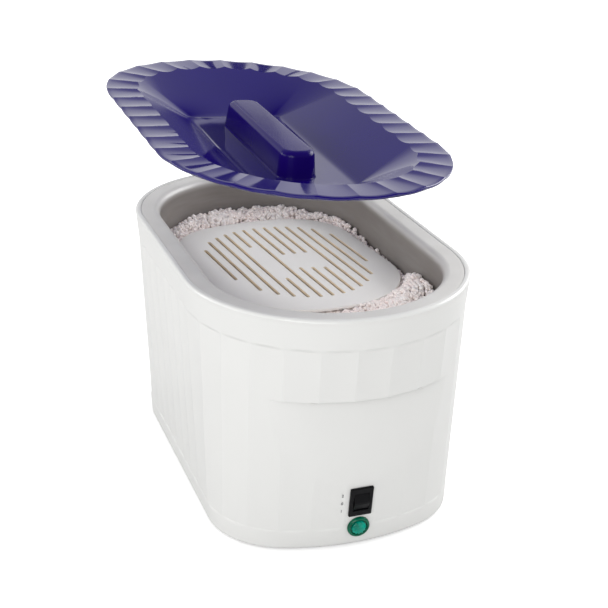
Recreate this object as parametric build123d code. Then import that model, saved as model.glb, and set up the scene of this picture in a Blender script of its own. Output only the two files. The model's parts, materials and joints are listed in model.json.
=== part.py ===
from build123d import *
import math
import os

os.makedirs("parts", exist_ok=True)

# A table-top paraffin bath. The origin is on the table under the middle of the housing, +Z is up,
# the long axis lies along Y, and the end with the switch faces -Y.

# Outer form of the housing
RIM_Z = 206.0                # top of the moulded lip above the table
RIM_RADIUS = 115.0           # half the width at the lip, and the radius of both rounded ends
STRAIGHT = 150.0             # length of each straight side between the rounded ends
BASE_Z = 1.6                 # lower edge of the moulded wall
END_TAPER = 26.7             # each end leans in by this from the lip down to the base
SIDE_TAPER = 13.0            # each side leans in by this
BASE_HALF_LENGTH = STRAIGHT / 2 + RIM_RADIUS - END_TAPER
BASE_HALF_WIDTH = RIM_RADIUS - SIDE_TAPER
BASE_END_RADIUS = 182.0
BASE_CORNER_RADIUS = 62.6
BASE_EDGE = 2.4              # rounding of the lower outer edge
COLLAR_Z = 182.2             # underside of the smooth collar
COLLAR_TAPER = 2.2           # the collar narrows by this down to its underside
COLLAR_RADIUS = RIM_RADIUS - COLLAR_TAPER
BAND_Z = 18.5                # top of the smooth band round the foot
LIP_ROUND = 2.6              # rounding of the lip's outer top edge
WALL = 3.0                   # moulded wall
END_FACETS = 13              # flat facets round each end
SIDE_FLUTES = 6              # hollow flutes along each side
FLUTE_DEPTH = 1.3            # depth of a side flute just under the collar

# Set-back panel on the front, under a ledge
LEDGE_Z = 136.5              # height of the ledge over the panel
PANEL_DEPTH = 8.0            # how far the panel's top is behind the wall's outline
PANEL_SIDE = 16.5            # the panel is bent round an upright ellipse that ends this far inside the lip
PANEL_HALF_WIDTH = RIM_RADIUS - PANEL_SIDE
PANEL_HALF_DEPTH = 50.4      # the ellipse's other half axis
PANEL_SLOPE = 0.026          # how much the ellipse narrows for each millimetre down
PANEL_FOOT_Z = 40.0
PANEL_END = 8.5              # nothing nearer to the ellipse's side than this is cut
PANEL_REACH = PANEL_HALF_WIDTH - PANEL_END

# Tank: a drawn aluminium pan whose flange hangs on the rim
SHEET = 1.5                  # thickness of the tank's sheet
LIP_WIDTH = 4.9              # the flange ends this far inside the lip's outer side
LIP_RISE = 0.6               # and its top lies this far under the lip's
FLANGE_WIDTH = 16.1
TANK_TAPER = 11.0            # the tank narrows by this on each side from its mouth to its floor
FLANGE_RADIUS = RIM_RADIUS - LIP_WIDTH
FLANGE_Z = RIM_Z - LIP_RISE
TANK_TOP_RADIUS = FLANGE_RADIUS - FLANGE_WIDTH
TANK_FLOOR_RADIUS = TANK_TOP_RADIUS - TANK_TAPER
TANK_FLOOR_Z = 66.0          # top of the tank's floor
TANK_CORNER = 18.0           # inside radius between floor and wall
ROLL_RADIUS = 6.0            # the flange rolls over into the wall with this radius
GASKET = 1.0                 # thickness of the seal under the flange
LEDGE_THICK = 3.0            # shelf in the housing that carries the flange
SEAT_WIDTH = 6.1             # how much of the flange lies on that shelf
LEDGE_RADIUS = FLANGE_RADIUS - SEAT_WIDTH
RABBET_GAP = 0.3             # gap between the flange's edge and the lip

# Wax charge and the loose grid that lies on it
WAX_Z = 170.7
SOFT_GAP = 0.3               # gap kept round soft or curved neighbours
GRID_SIDE_GAP = 13.7         # the grid is this much smaller than the tank's mouth on each side
GRID_END_GAP = 61.15         # and this much at each end
GRID_HALF_WIDTH = TANK_TOP_RADIUS - GRID_SIDE_GAP
GRID_HALF_LENGTH = STRAIGHT / 2 + TANK_TOP_RADIUS - GRID_END_GAP
GRID_FAR_FLAT = 25.3         # the far end's corners start this far from the middle line
GRID_FAR_END = 287.0         # radius of the slight bow between them
GRID_NEAR_FLAT = 7.3         # the near end is rounder
GRID_NEAR_END = 124.0
GRID_THICK = 3.0
GRID_EDGE = 1.2              # rounding of the grid's edges
GRID_X = 3.06
GRID_Y = 16.95
GRID_TURN = 4.75             # the grid lies a little askew
SLOTS = 13
SLOT_PITCH = 10.1
SLOT_WIDTH = 2.2
SLOT_SHIFT = 1.9             # the slots' middle lies this far to the right of the grid's
SLOT_SIDE_MARGIN = 18.8      # the slots end on half ellipses that start this far inside the grid's sides
SLOT_FAR_MARGIN = 19.35      # distance of the middle slot from the far end
SLOT_FAR_BOW = 46.0          # how much shorter the slots get towards the sides
SLOT_NEAR_MARGIN = 23.6
SLOT_NEAR_BOW = 72.0
PLAIN_STRETCHES = {4: (-36.0, 43.0), 6: (-18.0, 16.0), 7: (-21.0, 15.0), 8: (-24.0, 14.0)}

# Lid: a thin dished moulding with a scalloped rim and a block handle
LID_OVERHANG = 1.0           # the lid reaches this far over the lip
LID_RADIUS = RIM_RADIUS + LID_OVERHANG
LID_THICK = 2.2
LID_SEAT_GAP = 0.3           # the rim lies this far above the lip
SCALLOP_DEPTH = 1.6          # height of the ridges over the hollows
LID_END_SCALLOPS = 12        # hollows round each end
LID_SIDE_PITCHES = 5.5       # hollows along each side
RIM_WIDTH = 25.5             # width of the scalloped rim
DISH_DEPTH = 25.6
DISH_SIDE_RUN = 48.5         # level run of the dish's side walls
DISH_END_RUN = 70.0          # and of its end walls
DISH_FLOOR_HALF_WIDTH = LID_RADIUS - RIM_WIDTH - DISH_SIDE_RUN
DISH_FLOOR_HALF_LENGTH = STRAIGHT / 2 + LID_RADIUS - RIM_WIDTH - DISH_END_RUN
DISH_FLOOR_CORNER = 4.0
DISH_CORNER_ANGLE = 60.0     # the end wall of the dish spreads over this angle to each side
HANDLE_HALF_WIDTH = 16.2     # the handle's foot
HANDLE_END_GAP = 17.0        # floor left at each end of the handle
HANDLE_HALF_LENGTH = DISH_FLOOR_HALF_LENGTH - HANDLE_END_GAP
HANDLE_CORNER = 13.0
HANDLE_LEAN = 2.4            # its sides lean in by this up to its top
HANDLE_END_LEAN = 3.5        # and its ends by this
HANDLE_HEIGHT = 21.6
HANDLE_ROUND = 4.2
HANDLE_WALL = 2.6
HANDLE_SCREW_Y = 52.0
HANDLE_BOSS_RADIUS = 5.0

# The held lid: it swings up from its seat about a level line at arm's length
LID_TURN = 1.0               # turn of the lid on its seat, seen from above
LID_BEARING = 55.5           # direction of that line in plan, from +X towards +Y
LID_ARM = 1218.0             # level distance from the bath's middle to the line
LID_ARM_RISE = 325.0         # height of the line over the seated lid
LID_ANGLE = 4.33             # swing from the seat to the held place

# Rocker switch and lamp on the front
SWITCH_Z = 43.4
BEZEL_WIDTH = 19.0
BEZEL_HEIGHT = 26.5
BEZEL_THICK = 2.0
BEZEL_CORNER = 1.0
SWITCH_WIDTH = 15.4
SWITCH_HEIGHT = 22.0
SWITCH_DEPTH = 17.0
WINDOW_GAP = 0.2
CAVITY_WIDTH = 13.2
CAVITY_HEIGHT = 16.4
CAVITY_DEPTH = 7.5
ROCKER_GAP = 0.4             # gap on each side of the rocker
ROCKER_HALF_HEIGHT = 7.2
ROCKER_FACE = 2.2            # the rocker's ends stand this far in front of its pin
ROCKER_BACK = 1.5
ROCKER_RIDGE = 4.8           # the ridge across the rocker stands this far in front of its pin
ROCKER_RIDGE_HALF = 0.8
PIN_DEPTH = 3.0              # the pin lies this far behind the bezel's face
PIN_RADIUS = 1.0
PIN_RUN = 0.05               # running gap round the pin
LAMP_Z = 18.8
LENS_RADIUS = 9.2
LENS_THICK = 2.6
LENS_BUTTON_RADIUS = 5.6
LENS_BUTTON_RISE = 1.4
LENS_GROOVE_RADIUS = 7.2
LENS_GROOVE_DEPTH = 1.2
LAMP_RADIUS = 6.0
LAMP_DEPTH = 22.0
LAMP_BORE = 4.7
BULB_RADIUS = 3.0
NUT_THICK = 3.0
NUT_RADIUS = 8.6

# Cord gland at the back
GLAND_Z = 30.0
GLAND_RADIUS = 7.0
GLAND_FLANGE_RADIUS = 10.0
GLAND_FLANGE_THICK = 3.0
GLAND_LENGTH = 18.0
GLAND_BORE = 4.1

# Underside
PLATE_Z = 4.0                # underside of the base plate
PLATE_THICK = 1.2
PLATE_GAP = 0.5
FOOT_RADIUS = 9.0
FOOT_SIDE = 30.0             # a foot's middle lies this far inside the wall's lower side
FOOT_END = 59.3              # and this far from its lower end
FOOT_X = BASE_HALF_WIDTH - FOOT_SIDE
FOOT_Y = BASE_HALF_LENGTH - FOOT_END
FOOT_SCREW_Z = 1.0           # the foot's screw head stays this far above the table
SCREW_RADIUS = 2.0
HEAD_RADIUS = 3.6
HEAD_THICK = 2.0
BOSS_RADIUS = 4.6
BOSS_INSET = 8.4
BOSS_TOP_Z = 26.0
BOSS_PLACES = (0.30, 0.62, 1.0)   # quarters of the outline counted from the front, mirrored to both ends
VENT_COUNT = 9
VENT_LENGTH = 44.0
VENT_WIDTH = 4.0
VENT_PITCH = 9.0

# Stack under the tank, drawn up by four rods
ROD_RADIUS = 2.5
ROD_END_Z = 1.2
PAD_HEATER_THICK = 1.6
PAD_THICK = 6.0
CLAMP_THICK = 1.2
PAD_MARGIN = 4.0             # the pad heater is this much smaller all round than the pad under it
STACK_SIDE = 25.0            # the pad ends this far inside the tank's floor outline
STACK_END = 46.0
STACK_HALF_WIDTH = TANK_FLOOR_RADIUS - STACK_SIDE
STACK_HALF_LENGTH = STRAIGHT / 2 + TANK_FLOOR_RADIUS - STACK_END
ROD_SIDE = 16.0              # the rods stand this far inside the pad's sides
ROD_REACH = 30.0             # and this far into its round ends
ROD_X = STACK_HALF_WIDTH - ROD_SIDE
ROD_Y = STACK_HALF_LENGTH - STACK_HALF_WIDTH + ROD_REACH
HEX_RADIUS = 4.6             # across corners, halved
HEX_THICK = 4.0
LOW_HEX_THICK = 2.2

# Band heater and its wrap round the tank
BAND_HEATER_LOW = 84.0
BAND_HEATER_HIGH = 128.0
BAND_HEATER_THICK = 1.5
BAND_SPLIT = 8.0             # gap between the heater's ends, at the back
WRAP_LOW = 78.0
WRAP_HIGH = 132.0
WRAP_THICK = 2.6

# Thermostats under the front of the tank, and the fuse under its back
DISC_RADIUS = 8.0
DISC_HEIGHT = 9.0
DISC_X = 19.0
DISC_INSET = 32.0            # distance of both thermostats from the front end of the tank's floor
DISC_Y = -(STRAIGHT / 2 + TANK_FLOOR_RADIUS - DISC_INSET)
BLADE_WIDTH = 6.3
BLADE_THICK = 0.8
BLADE_LENGTH = 8.0
BLADE_OFFSET = 5.2
BAR_HALF_LENGTH = 26.0
BAR_WIDTH = 6.0
BAR_THICK = 1.0
STUD_RADIUS = 2.0
STUD_HEX = 3.8
STUD_HEX_THICK = 3.0
FUSE_RADIUS = 2.2
FUSE_LENGTH = 16.0
FUSE_INSET = 31.0            # distance of the fuse from the back end of the tank's floor
FUSE_Y = STRAIGHT / 2 + TANK_FLOOR_RADIUS - FUSE_INSET
CLIP_THICK = 1.0
CLIP_WIDTH = 10.0
CLIP_TAIL = 12.0

# Terminal block and earth point on the base plate
BLOCK_X = 24.0
BLOCK_INSET = 51.3           # distance of the block's middle from the wall's lower end
BLOCK_Y = BASE_HALF_LENGTH - BLOCK_INSET
BLOCK_SIZE = (42.0, 22.0, 17.0)
BLOCK_WAYS = 3
BLOCK_PITCH = 12.0
WAY_SCREW_RADIUS = 2.2
WAY_SCREW_LENGTH = 5.5
EARTH_X = -30.0
EARTH_Y = BLOCK_Y
TAG_RADIUS = 5.0
TAG_THICK = 0.8
EARTH_LENGTH = 12.0
LEAD_RADIUS = 1.4
LEAD_STEP = 3.0              # the leads' bends are placed in multiples of this
SADDLE_LENGTH = 5.0
SADDLE_WALL = 1.4
SADDLE_SHARES = (0.28, 0.4, 0.5)    # where the saddles sit along the supply lead

THROUGH = 60.0               # length of a tool that has to pass right through a wall


def stadium(radius, z, straight=STRAIGHT):
    """A level face with straight sides along Y and half-round ends."""
    return Pos(0, 0, z) * Rot(0, 0, 90) * SlotOverall(straight + 2 * radius, 2 * radius)


def stadium_taper(low_radius, low_z, high_radius, high_z, straight=STRAIGHT):
    """A solid between two stadium outlines of one straight length."""
    return loft([stadium(low_radius, low_z, straight), stadium(high_radius, high_z, straight)], ruled=True)


def outline_sizes(z, inset=0.0):
    """Half length, half width, end radius and corner radius of the wall's outline at one height."""
    share = (RIM_Z - z) / (RIM_Z - BASE_Z)
    rim = (STRAIGHT / 2 + RIM_RADIUS, RIM_RADIUS, RIM_RADIUS, RIM_RADIUS)
    base = (BASE_HALF_LENGTH, BASE_HALF_WIDTH, BASE_END_RADIUS, BASE_CORNER_RADIUS)
    return [a + (b - a) * share - inset for a, b in zip(rim, base)]


def outline_parts(sizes):
    """Where the end arc, the corner arc and the straight side of a quarter outline lie."""
    half_length, half_width, end_radius, corner_radius = sizes
    turn = math.asin((half_width - corner_radius) / (end_radius - corner_radius))
    centre_x = half_width - corner_radius
    centre_y = half_length - end_radius + (end_radius - corner_radius) * math.cos(turn)
    return turn, centre_x, centre_y


def quarter_point(sizes, share):
    """A point of the quarter outline from the front's middle, 0, to the side's middle, 1."""
    half_length, half_width, end_radius, corner_radius = sizes
    turn, centre_x, centre_y = outline_parts(sizes)
    end = end_radius * turn
    corner = corner_radius * (math.pi / 2 - turn)
    along = share * (end + corner + centre_y)
    if along <= end:
        angle = along / end_radius
        return end_radius * math.sin(angle), -(half_length - end_radius + end_radius * math.cos(angle))
    if along <= end + corner:
        angle = turn + (along - end) / corner_radius
        return centre_x + corner_radius * math.sin(angle), -(centre_y + corner_radius * math.cos(angle))
    return half_width, -(centre_y - (along - end - corner))


def rim_quarter_point(radius, share):
    """The same quarter on a stadium outline."""
    end = radius * math.pi / 2
    along = share * (end + STRAIGHT / 2)
    if along <= end:
        angle = along / radius
        return radius * math.sin(angle), -(STRAIGHT / 2 + radius * math.cos(angle))
    return radius, -(STRAIGHT / 2 - (along - end))


def ridge_shares():
    """Where the ridges between facets and flutes stand on a quarter outline."""
    end = COLLAR_RADIUS * math.pi / 2
    total = end + STRAIGHT / 2
    facet = math.pi / END_FACETS * COLLAR_RADIUS
    on_end = [(k + 0.5) * facet / total for k in range((END_FACETS + 1) // 2)]
    flute = STRAIGHT / SIDE_FLUTES
    on_side = [(end + flute * k) / total for k in range(1, SIDE_FLUTES // 2 + 1)]
    return on_end + on_side


def all_round(point):
    """The ridge points of the whole outline, counter-clockwise from the front."""
    shares = ridge_shares()
    right_front = [point(s) for s in shares]
    right_back = [(x, -y) for x, y in reversed(right_front[:-1])]
    left_back = [(-x, -y) for x, y in right_front]
    left_front = [(-x, y) for x, y in reversed(right_front[:-1])]
    return right_front + right_back + left_back + left_front


def ridge_wire(points, z, side_x, depth):
    """A closed wire over the ridges. Flutes on the straight sides are arcs sunk by depth."""
    edges = []
    for (ax, ay), (bx, by) in zip(points, points[1:] + points[:1]):
        on_side = abs(abs(ax) - side_x) < 0.01 and abs(abs(bx) - side_x) < 0.01
        if on_side and depth:
            middle = (math.copysign(abs(ax) - depth, ax), (ay + by) / 2, z)
            edges.append(ThreePointArc((ax, ay, z), middle, (bx, by, z)))
        else:
            edges.append(Line((ax, ay, z), (bx, by, z)))
    return make_face(Wire(edges))


def outline_face(z, inset=0.0):
    """The smooth outline of the wall at one height."""
    sizes = outline_sizes(z, inset)
    half_length, half_width, end_radius, corner_radius = sizes
    turn, centre_x, centre_y = outline_parts(sizes)
    end_x = end_radius * math.sin(turn)
    end_y = half_length - end_radius + end_radius * math.cos(turn)
    corner_mid = (turn + math.pi / 2) / 2
    mid_x = centre_x + corner_radius * math.sin(corner_mid)
    mid_y = centre_y + corner_radius * math.cos(corner_mid)
    edges = [
        ThreePointArc((-end_x, -end_y, z), (0, -half_length, z), (end_x, -end_y, z)),
        ThreePointArc((end_x, -end_y, z), (mid_x, -mid_y, z), (half_width, -centre_y, z)),
        Line((half_width, -centre_y, z), (half_width, centre_y, z)),
        ThreePointArc((half_width, centre_y, z), (mid_x, mid_y, z), (end_x, end_y, z)),
        ThreePointArc((end_x, end_y, z), (0, half_length, z), (-end_x, end_y, z)),
        ThreePointArc((-end_x, end_y, z), (-mid_x, mid_y, z), (-half_width, centre_y, z)),
        Line((-half_width, centre_y, z), (-half_width, -centre_y, z)),
        ThreePointArc((-half_width, -centre_y, z), (-mid_x, -mid_y, z), (-end_x, -end_y, z)),
    ]
    return make_face(Wire(edges))


def facet_line():
    """Half width, Y and Z of the middle facet's upper and lower edges, on the front."""
    first = ridge_shares()[0]
    high_x, high_y = rim_quarter_point(COLLAR_RADIUS, first)
    low_x, low_y = quarter_point(outline_sizes(BAND_Z), first)
    return (high_x, high_y, COLLAR_Z), (low_x, low_y, BAND_Z)


def end_frame(z, back=False):
    """A frame on the flat middle facet of the front or back: X across, Y up the wall, Z outwards."""
    (_, high_y, high_z), (_, low_y, low_z) = facet_line()
    y = low_y + (high_y - low_y) * (z - low_z) / (high_z - low_z)
    lean = math.atan2(low_y - high_y, high_z - low_z)
    way = -1 if back else 1
    return Plane(
        origin=(0, way * y, z),
        x_dir=(way, 0, 0),
        z_dir=(0, -way * math.cos(lean), -math.sin(lean)),
    ).location


def recess_space(skin):
    """The space in front of the set-back panel and below its ledge, grown inwards by skin."""
    top = LEDGE_Z + skin
    height = top - PANEL_FOOT_Z
    centre_y = PANEL_DEPTH + PANEL_HALF_DEPTH - outline_sizes(LEDGE_Z)[0]
    across, along = PANEL_HALF_WIDTH - skin, PANEL_HALF_DEPTH - skin
    narrower = PANEL_SLOPE * height
    high = Pos(0, centre_y, top) * Ellipse(across, along)
    low = Pos(0, centre_y, PANEL_FOOT_Z) * Ellipse(across - narrower, along - narrower)
    block = Pos(0, centre_y - RIM_RADIUS, PANEL_FOOT_Z + height / 2) * Box(2 * PANEL_REACH, 2 * RIM_RADIUS, height)
    return block - loft([low, high], ruled=True)


def outer_form():
    """The housing's outer form as one solid, with flutes, collar, foot band and panel."""
    high = ridge_wire(all_round(lambda s: rim_quarter_point(COLLAR_RADIUS, s)), COLLAR_Z, COLLAR_RADIUS, FLUTE_DEPTH)
    low_sizes = outline_sizes(BAND_Z)
    low = ridge_wire(all_round(lambda s: quarter_point(low_sizes, s)), BAND_Z, low_sizes[1], 0)
    fluted = loft([low, high], ruled=True)
    band = loft([outline_face(BASE_Z + BASE_EDGE), outline_face(BAND_Z)], ruled=True)
    edge = loft([outline_face(BASE_Z, BASE_EDGE), outline_face(BASE_Z + BASE_EDGE)], ruled=True)
    collar = stadium_taper(COLLAR_RADIUS, COLLAR_Z, RIM_RADIUS, RIM_Z)
    top_edges = collar.edges().group_by(Axis.Z)[-1]
    collar = fillet(top_edges, LIP_ROUND)
    return fluted + band + edge + collar - recess_space(0)


def inner_void():
    """Everything that is hollow inside the housing, up to and through its rim."""
    inset = WALL + FLUTE_DEPTH
    low = loft([outline_face(BASE_Z - 1, inset), outline_face(COLLAR_Z, inset)], ruled=True)
    ledge_low = FLANGE_Z - SHEET - GASKET - LEDGE_THICK
    draft = (RIM_RADIUS - COLLAR_RADIUS) / (RIM_Z - COLLAR_Z)
    high_radius = COLLAR_RADIUS + draft * (ledge_low - COLLAR_Z)
    high = stadium_taper(COLLAR_RADIUS - WALL, COLLAR_Z, high_radius - WALL, ledge_low)
    mouth = extrude(stadium(LEDGE_RADIUS, ledge_low), LEDGE_THICK)
    rabbet = extrude(stadium(FLANGE_RADIUS + RABBET_GAP, ledge_low + LEDGE_THICK), 2 * LEDGE_THICK)
    return low + high - recess_space(WALL) + mouth + rabbet


def boss_places():
    """Where the base screws stand."""
    sizes = outline_sizes(PLATE_Z, BOSS_INSET)
    places = []
    for share in BOSS_PLACES:
        x, y = quarter_point(sizes, share)
        places += [(x, y), (-x, y)]
        if share < 1:
            places += [(x, -y), (-x, -y)]
    return places


def rod(radius, x, y, low, high):
    """An upright round solid between two heights."""
    return Pos(x, y, (low + high) / 2) * Cylinder(radius, high - low)


def hexagon(radius, x, y, low, high):
    """An upright hexagonal solid between two heights."""
    return Pos(x, y, low) * extrude(RegularPolygon(radius, 6), high - low)


def housing():
    """The white outer shell."""
    shell = outer_form() - inner_void()
    plate_top = PLATE_Z + PLATE_THICK
    for x, y in boss_places():
        shell += rod(BOSS_RADIUS, x, y, plate_top, BOSS_TOP_Z)
        shell -= rod(SCREW_RADIUS, x, y, plate_top - 1, BOSS_TOP_Z - WALL)
    window = Box(SWITCH_WIDTH + 2 * WINDOW_GAP, SWITCH_HEIGHT + 2 * WINDOW_GAP, THROUGH)
    shell -= end_frame(SWITCH_Z) * window
    shell -= end_frame(LAMP_Z) * Cylinder(LAMP_RADIUS + WINDOW_GAP, THROUGH)
    shell -= end_frame(LAMP_Z) * Pos(0, 0, LENS_THICK) * Cylinder(LENS_RADIUS + WINDOW_GAP, 2 * LENS_THICK)
    shell -= end_frame(GLAND_Z, back=True) * Cylinder(GLAND_RADIUS + WINDOW_GAP, THROUGH)
    return shell


def tank_radius(z):
    """Inside radius of the tank's wall at one height."""
    share = (z - TANK_FLOOR_Z) / (FLANGE_Z - TANK_FLOOR_Z)
    return TANK_FLOOR_RADIUS + (TANK_TOP_RADIUS - TANK_FLOOR_RADIUS) * share


def rounded_pan(grow, floor_z, flange_z, roll):
    """A solid pan with a plate on top of it, its foot rounded and the corner under the plate filled."""
    top = FLANGE_Z + LEDGE_THICK
    pan = stadium_taper(tank_radius(floor_z) + grow, floor_z, tank_radius(top) + grow, top)
    pan = fillet(pan.edges().group_by(Axis.Z)[0], TANK_CORNER + grow)
    plate = extrude(stadium(FLANGE_RADIUS + WALL, flange_z), top - flange_z)
    joined = pan + plate
    inner = [e for e in joined.edges() if abs(e.center().Z - flange_z) < 0.01 and is_inner(e)]
    return fillet(inner, roll)


def is_inner(edge):
    """Whether an edge of the flange's plane belongs to the tank's mouth and not to its rim."""
    return max(abs(p.X) for p in (edge @ 0, edge @ 0.5, edge @ 1)) < LEDGE_RADIUS


def tank():
    """Drawn pan with a rolled flange."""
    outside = rounded_pan(SHEET, TANK_FLOOR_Z - SHEET, FLANGE_Z - SHEET, ROLL_RADIUS - SHEET)
    inside = rounded_pan(0, TANK_FLOOR_Z, FLANGE_Z, ROLL_RADIUS)
    keep = extrude(stadium(FLANGE_RADIUS, 0), 2 * RIM_Z)
    return (outside - inside) & keep


def ring_on_tank(low, high, near, far):
    """A ring that follows the tank's outside between two heights and two distances from it."""
    wall_low = tank_radius(low) + SHEET
    wall_high = tank_radius(high) + SHEET
    outer = stadium_taper(wall_low + far, low, wall_high + far, high)
    inner = stadium_taper(wall_low + near, low, wall_high + near, high)
    return outer - inner


def heater_band():
    """Silicone heater round the tank, split at the back."""
    ring = ring_on_tank(BAND_HEATER_LOW, BAND_HEATER_HIGH, SOFT_GAP, SOFT_GAP + BAND_HEATER_THICK)
    return ring - Pos(0, STRAIGHT, 0) * Box(BAND_SPLIT, STRAIGHT, 2 * RIM_Z)


def insulation_wrap():
    """Glass-fibre sleeve over the band heater."""
    near = 2 * SOFT_GAP + BAND_HEATER_THICK
    return ring_on_tank(WRAP_LOW, WRAP_HIGH, near, near + WRAP_THICK)


def rim_gasket():
    """Flat seal between the housing's shelf and the tank's flange."""
    low = FLANGE_Z - SHEET - GASKET
    ring = extrude(stadium(FLANGE_RADIUS - RABBET_GAP, low), GASKET)
    return ring - extrude(stadium(LEDGE_RADIUS, low), GASKET)


def wax_beads():
    """The charge of wax as one block that fills the tank up to the beads."""
    low = TANK_FLOOR_Z + SOFT_GAP
    block = stadium_taper(tank_radius(low) - SOFT_GAP, low, tank_radius(WAX_Z) - SOFT_GAP, WAX_Z)
    return fillet(block.edges().group_by(Axis.Z)[0], TANK_CORNER)


def grid_quarter(flat, end, side):
    """The corner arc and half the end arc of the grid's outline, on its right side."""
    corner = GRID_HALF_WIDTH - flat
    sizes = (GRID_HALF_LENGTH, GRID_HALF_WIDTH, end, corner)
    turn, centre_x, centre_y = outline_parts(sizes)
    middle = (turn + math.pi / 2) / 2
    side_point = (GRID_HALF_WIDTH, side * centre_y)
    corner_point = (centre_x + corner * math.sin(middle), side * (centre_y + corner * math.cos(middle)))
    end_point = (end * math.sin(turn), side * (GRID_HALF_LENGTH - end + end * math.cos(turn)))
    return side_point, corner_point, end_point


def grid_outline():
    """The grid's level outline, squarer at its far end."""
    edges = []
    sides = []
    for flat, end, way in ((GRID_NEAR_FLAT, GRID_NEAR_END, -1), (GRID_FAR_FLAT, GRID_FAR_END, 1)):
        side_point, corner_point, end_point = grid_quarter(flat, end, way)
        sides.append(side_point)
        left = [(-x, y) for x, y in (side_point, corner_point, end_point)]
        edges.append(ThreePointArc(side_point, corner_point, end_point))
        edges.append(ThreePointArc(end_point, (0, way * GRID_HALF_LENGTH), left[2]))
        edges.append(ThreePointArc(left[2], left[1], left[0]))
    for way in (-1, 1):
        edges.append(Line((way * sides[0][0], sides[0][1]), (way * sides[1][0], sides[1][1])))
    return make_face(Wire.combine(edges)[0])


def slot_spans(index):
    """The stretches of one slot, as (low, high) along the grid."""
    x = (index - (SLOTS - 1) / 2) * SLOT_PITCH
    spread = GRID_HALF_WIDTH - SLOT_SIDE_MARGIN
    shorter = 1 - math.sqrt(max(1 - (x / spread) ** 2, 0))
    near = -(GRID_HALF_LENGTH - SLOT_NEAR_MARGIN - SLOT_NEAR_BOW * shorter)
    far = GRID_HALF_LENGTH - SLOT_FAR_MARGIN - SLOT_FAR_BOW * shorter
    if index in PLAIN_STRETCHES:
        low, high = PLAIN_STRETCHES[index]
        return x + SLOT_SHIFT, [(near, low), (high, far)]
    return x + SLOT_SHIFT, [(near, far)]


def grid_slots():
    """All slots as one tool."""
    tools = []
    for index in range(SLOTS):
        x, spans = slot_spans(index)
        for low, high in spans:
            slot = Rot(0, 0, 90) * SlotOverall(high - low, SLOT_WIDTH)
            tools.append(extrude(Pos(x, (low + high) / 2, -1) * slot, GRID_THICK + 2))
    return Part() + tools


def grid():
    """The loose slotted plate that lies on the wax."""
    plate = extrude(grid_outline(), GRID_THICK)
    plate = fillet(plate.edges().group_by(Axis.Z)[0] + plate.edges().group_by(Axis.Z)[-1], GRID_EDGE)
    plate -= grid_slots()
    return Pos(GRID_X, GRID_Y, WAX_Z + SOFT_GAP) * Rot(0, 0, GRID_TURN) * plate


LID_LOW = RIM_Z + LID_SEAT_GAP
LID_HOLLOW_Z = LID_LOW + LID_THICK
LID_FLOOR_Z = LID_HOLLOW_Z - DISH_DEPTH


def dish_wire(radius, floor_half_width, floor_half_length, corner, z, at_floor):
    """One section of the dish: a stadium at the rim or a rounded rectangle at the floor."""
    half = STRAIGHT / 2
    if at_floor:
        x, y = floor_half_width, floor_half_length
        side_y, end_x = y - corner, x - corner
        bend = corner * (1 - math.sqrt(0.5))
        corner_mid = (x - bend, y - bend)
        end_mid_y = None
    else:
        angle = math.radians(DISH_CORNER_ANGLE)
        middle = math.radians((90 + DISH_CORNER_ANGLE) / 2)
        x, side_y = radius, half
        end_x, y = radius * math.sin(angle), half + radius * math.cos(angle)
        corner_mid = (radius * math.sin(middle), half + radius * math.cos(middle))
        end_mid_y = half + radius
    edges = []
    for sx, sy in ((1, -1), (1, 1), (-1, 1), (-1, -1)):
        end = (sx * end_x, sy * y, z)
        mid = (sx * corner_mid[0], sy * corner_mid[1], z)
        side = (sx * x, sy * side_y, z)
        edges.append(ThreePointArc(end, mid, side))
    for sx in (1, -1):
        edges.append(Line((sx * x, -side_y, z), (sx * x, side_y, z)))
    for sy in (1, -1):
        ends = ((-end_x, sy * y, z), (end_x, sy * y, z))
        if end_mid_y is None:
            edges.append(Line(*ends))
        else:
            edges.append(ThreePointArc(ends[0], (0, sy * end_mid_y, z), ends[1]))
    return make_face(Wire.combine(edges)[0])


def dish(grow, high, low):
    """The dish as a solid, grown outwards, between the rim and its floor."""
    radius = LID_RADIUS - RIM_WIDTH + grow
    half_width = DISH_FLOOR_HALF_WIDTH + grow
    half_length = DISH_FLOOR_HALF_LENGTH + grow
    corner = DISH_FLOOR_CORNER + grow
    top = dish_wire(radius, half_width, half_length, corner, high, at_floor=False)
    floor = dish_wire(radius, half_width, half_length, corner, low, at_floor=True)
    return loft([floor, top], ruled=True)


def rim_place(along):
    """Point and outward angle on the lid's edge, counted from the front's middle to the right."""
    end = LID_RADIUS * math.pi / 2
    half = STRAIGHT / 2
    if along <= end:
        angle = along / LID_RADIUS
        x, y = LID_RADIUS * math.sin(angle), -(half + LID_RADIUS * math.cos(angle))
        return x, y, angle - math.pi / 2
    if along <= end + STRAIGHT:
        return LID_RADIUS, along - end - half, 0.0
    angle = (along - end - STRAIGHT) / LID_RADIUS
    return LID_RADIUS * math.cos(angle), half + LID_RADIUS * math.sin(angle), angle


def ridge_alongs():
    """Where the lid's ridges stand on its right half. The far end has a hollow in its middle."""
    end = LID_RADIUS * math.pi / 2
    step = math.pi / LID_END_SCALLOPS * LID_RADIUS
    pitch = STRAIGHT / LID_SIDE_PITCHES
    near = [step * k for k in range(LID_END_SCALLOPS // 2 + 1)]
    side = [end + pitch * k for k in range(1, int(LID_SIDE_PITCHES) + 1)]
    far = [end + STRAIGHT + step * (k + 0.5) for k in range(LID_END_SCALLOPS // 2)]
    return near + side + far


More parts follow.
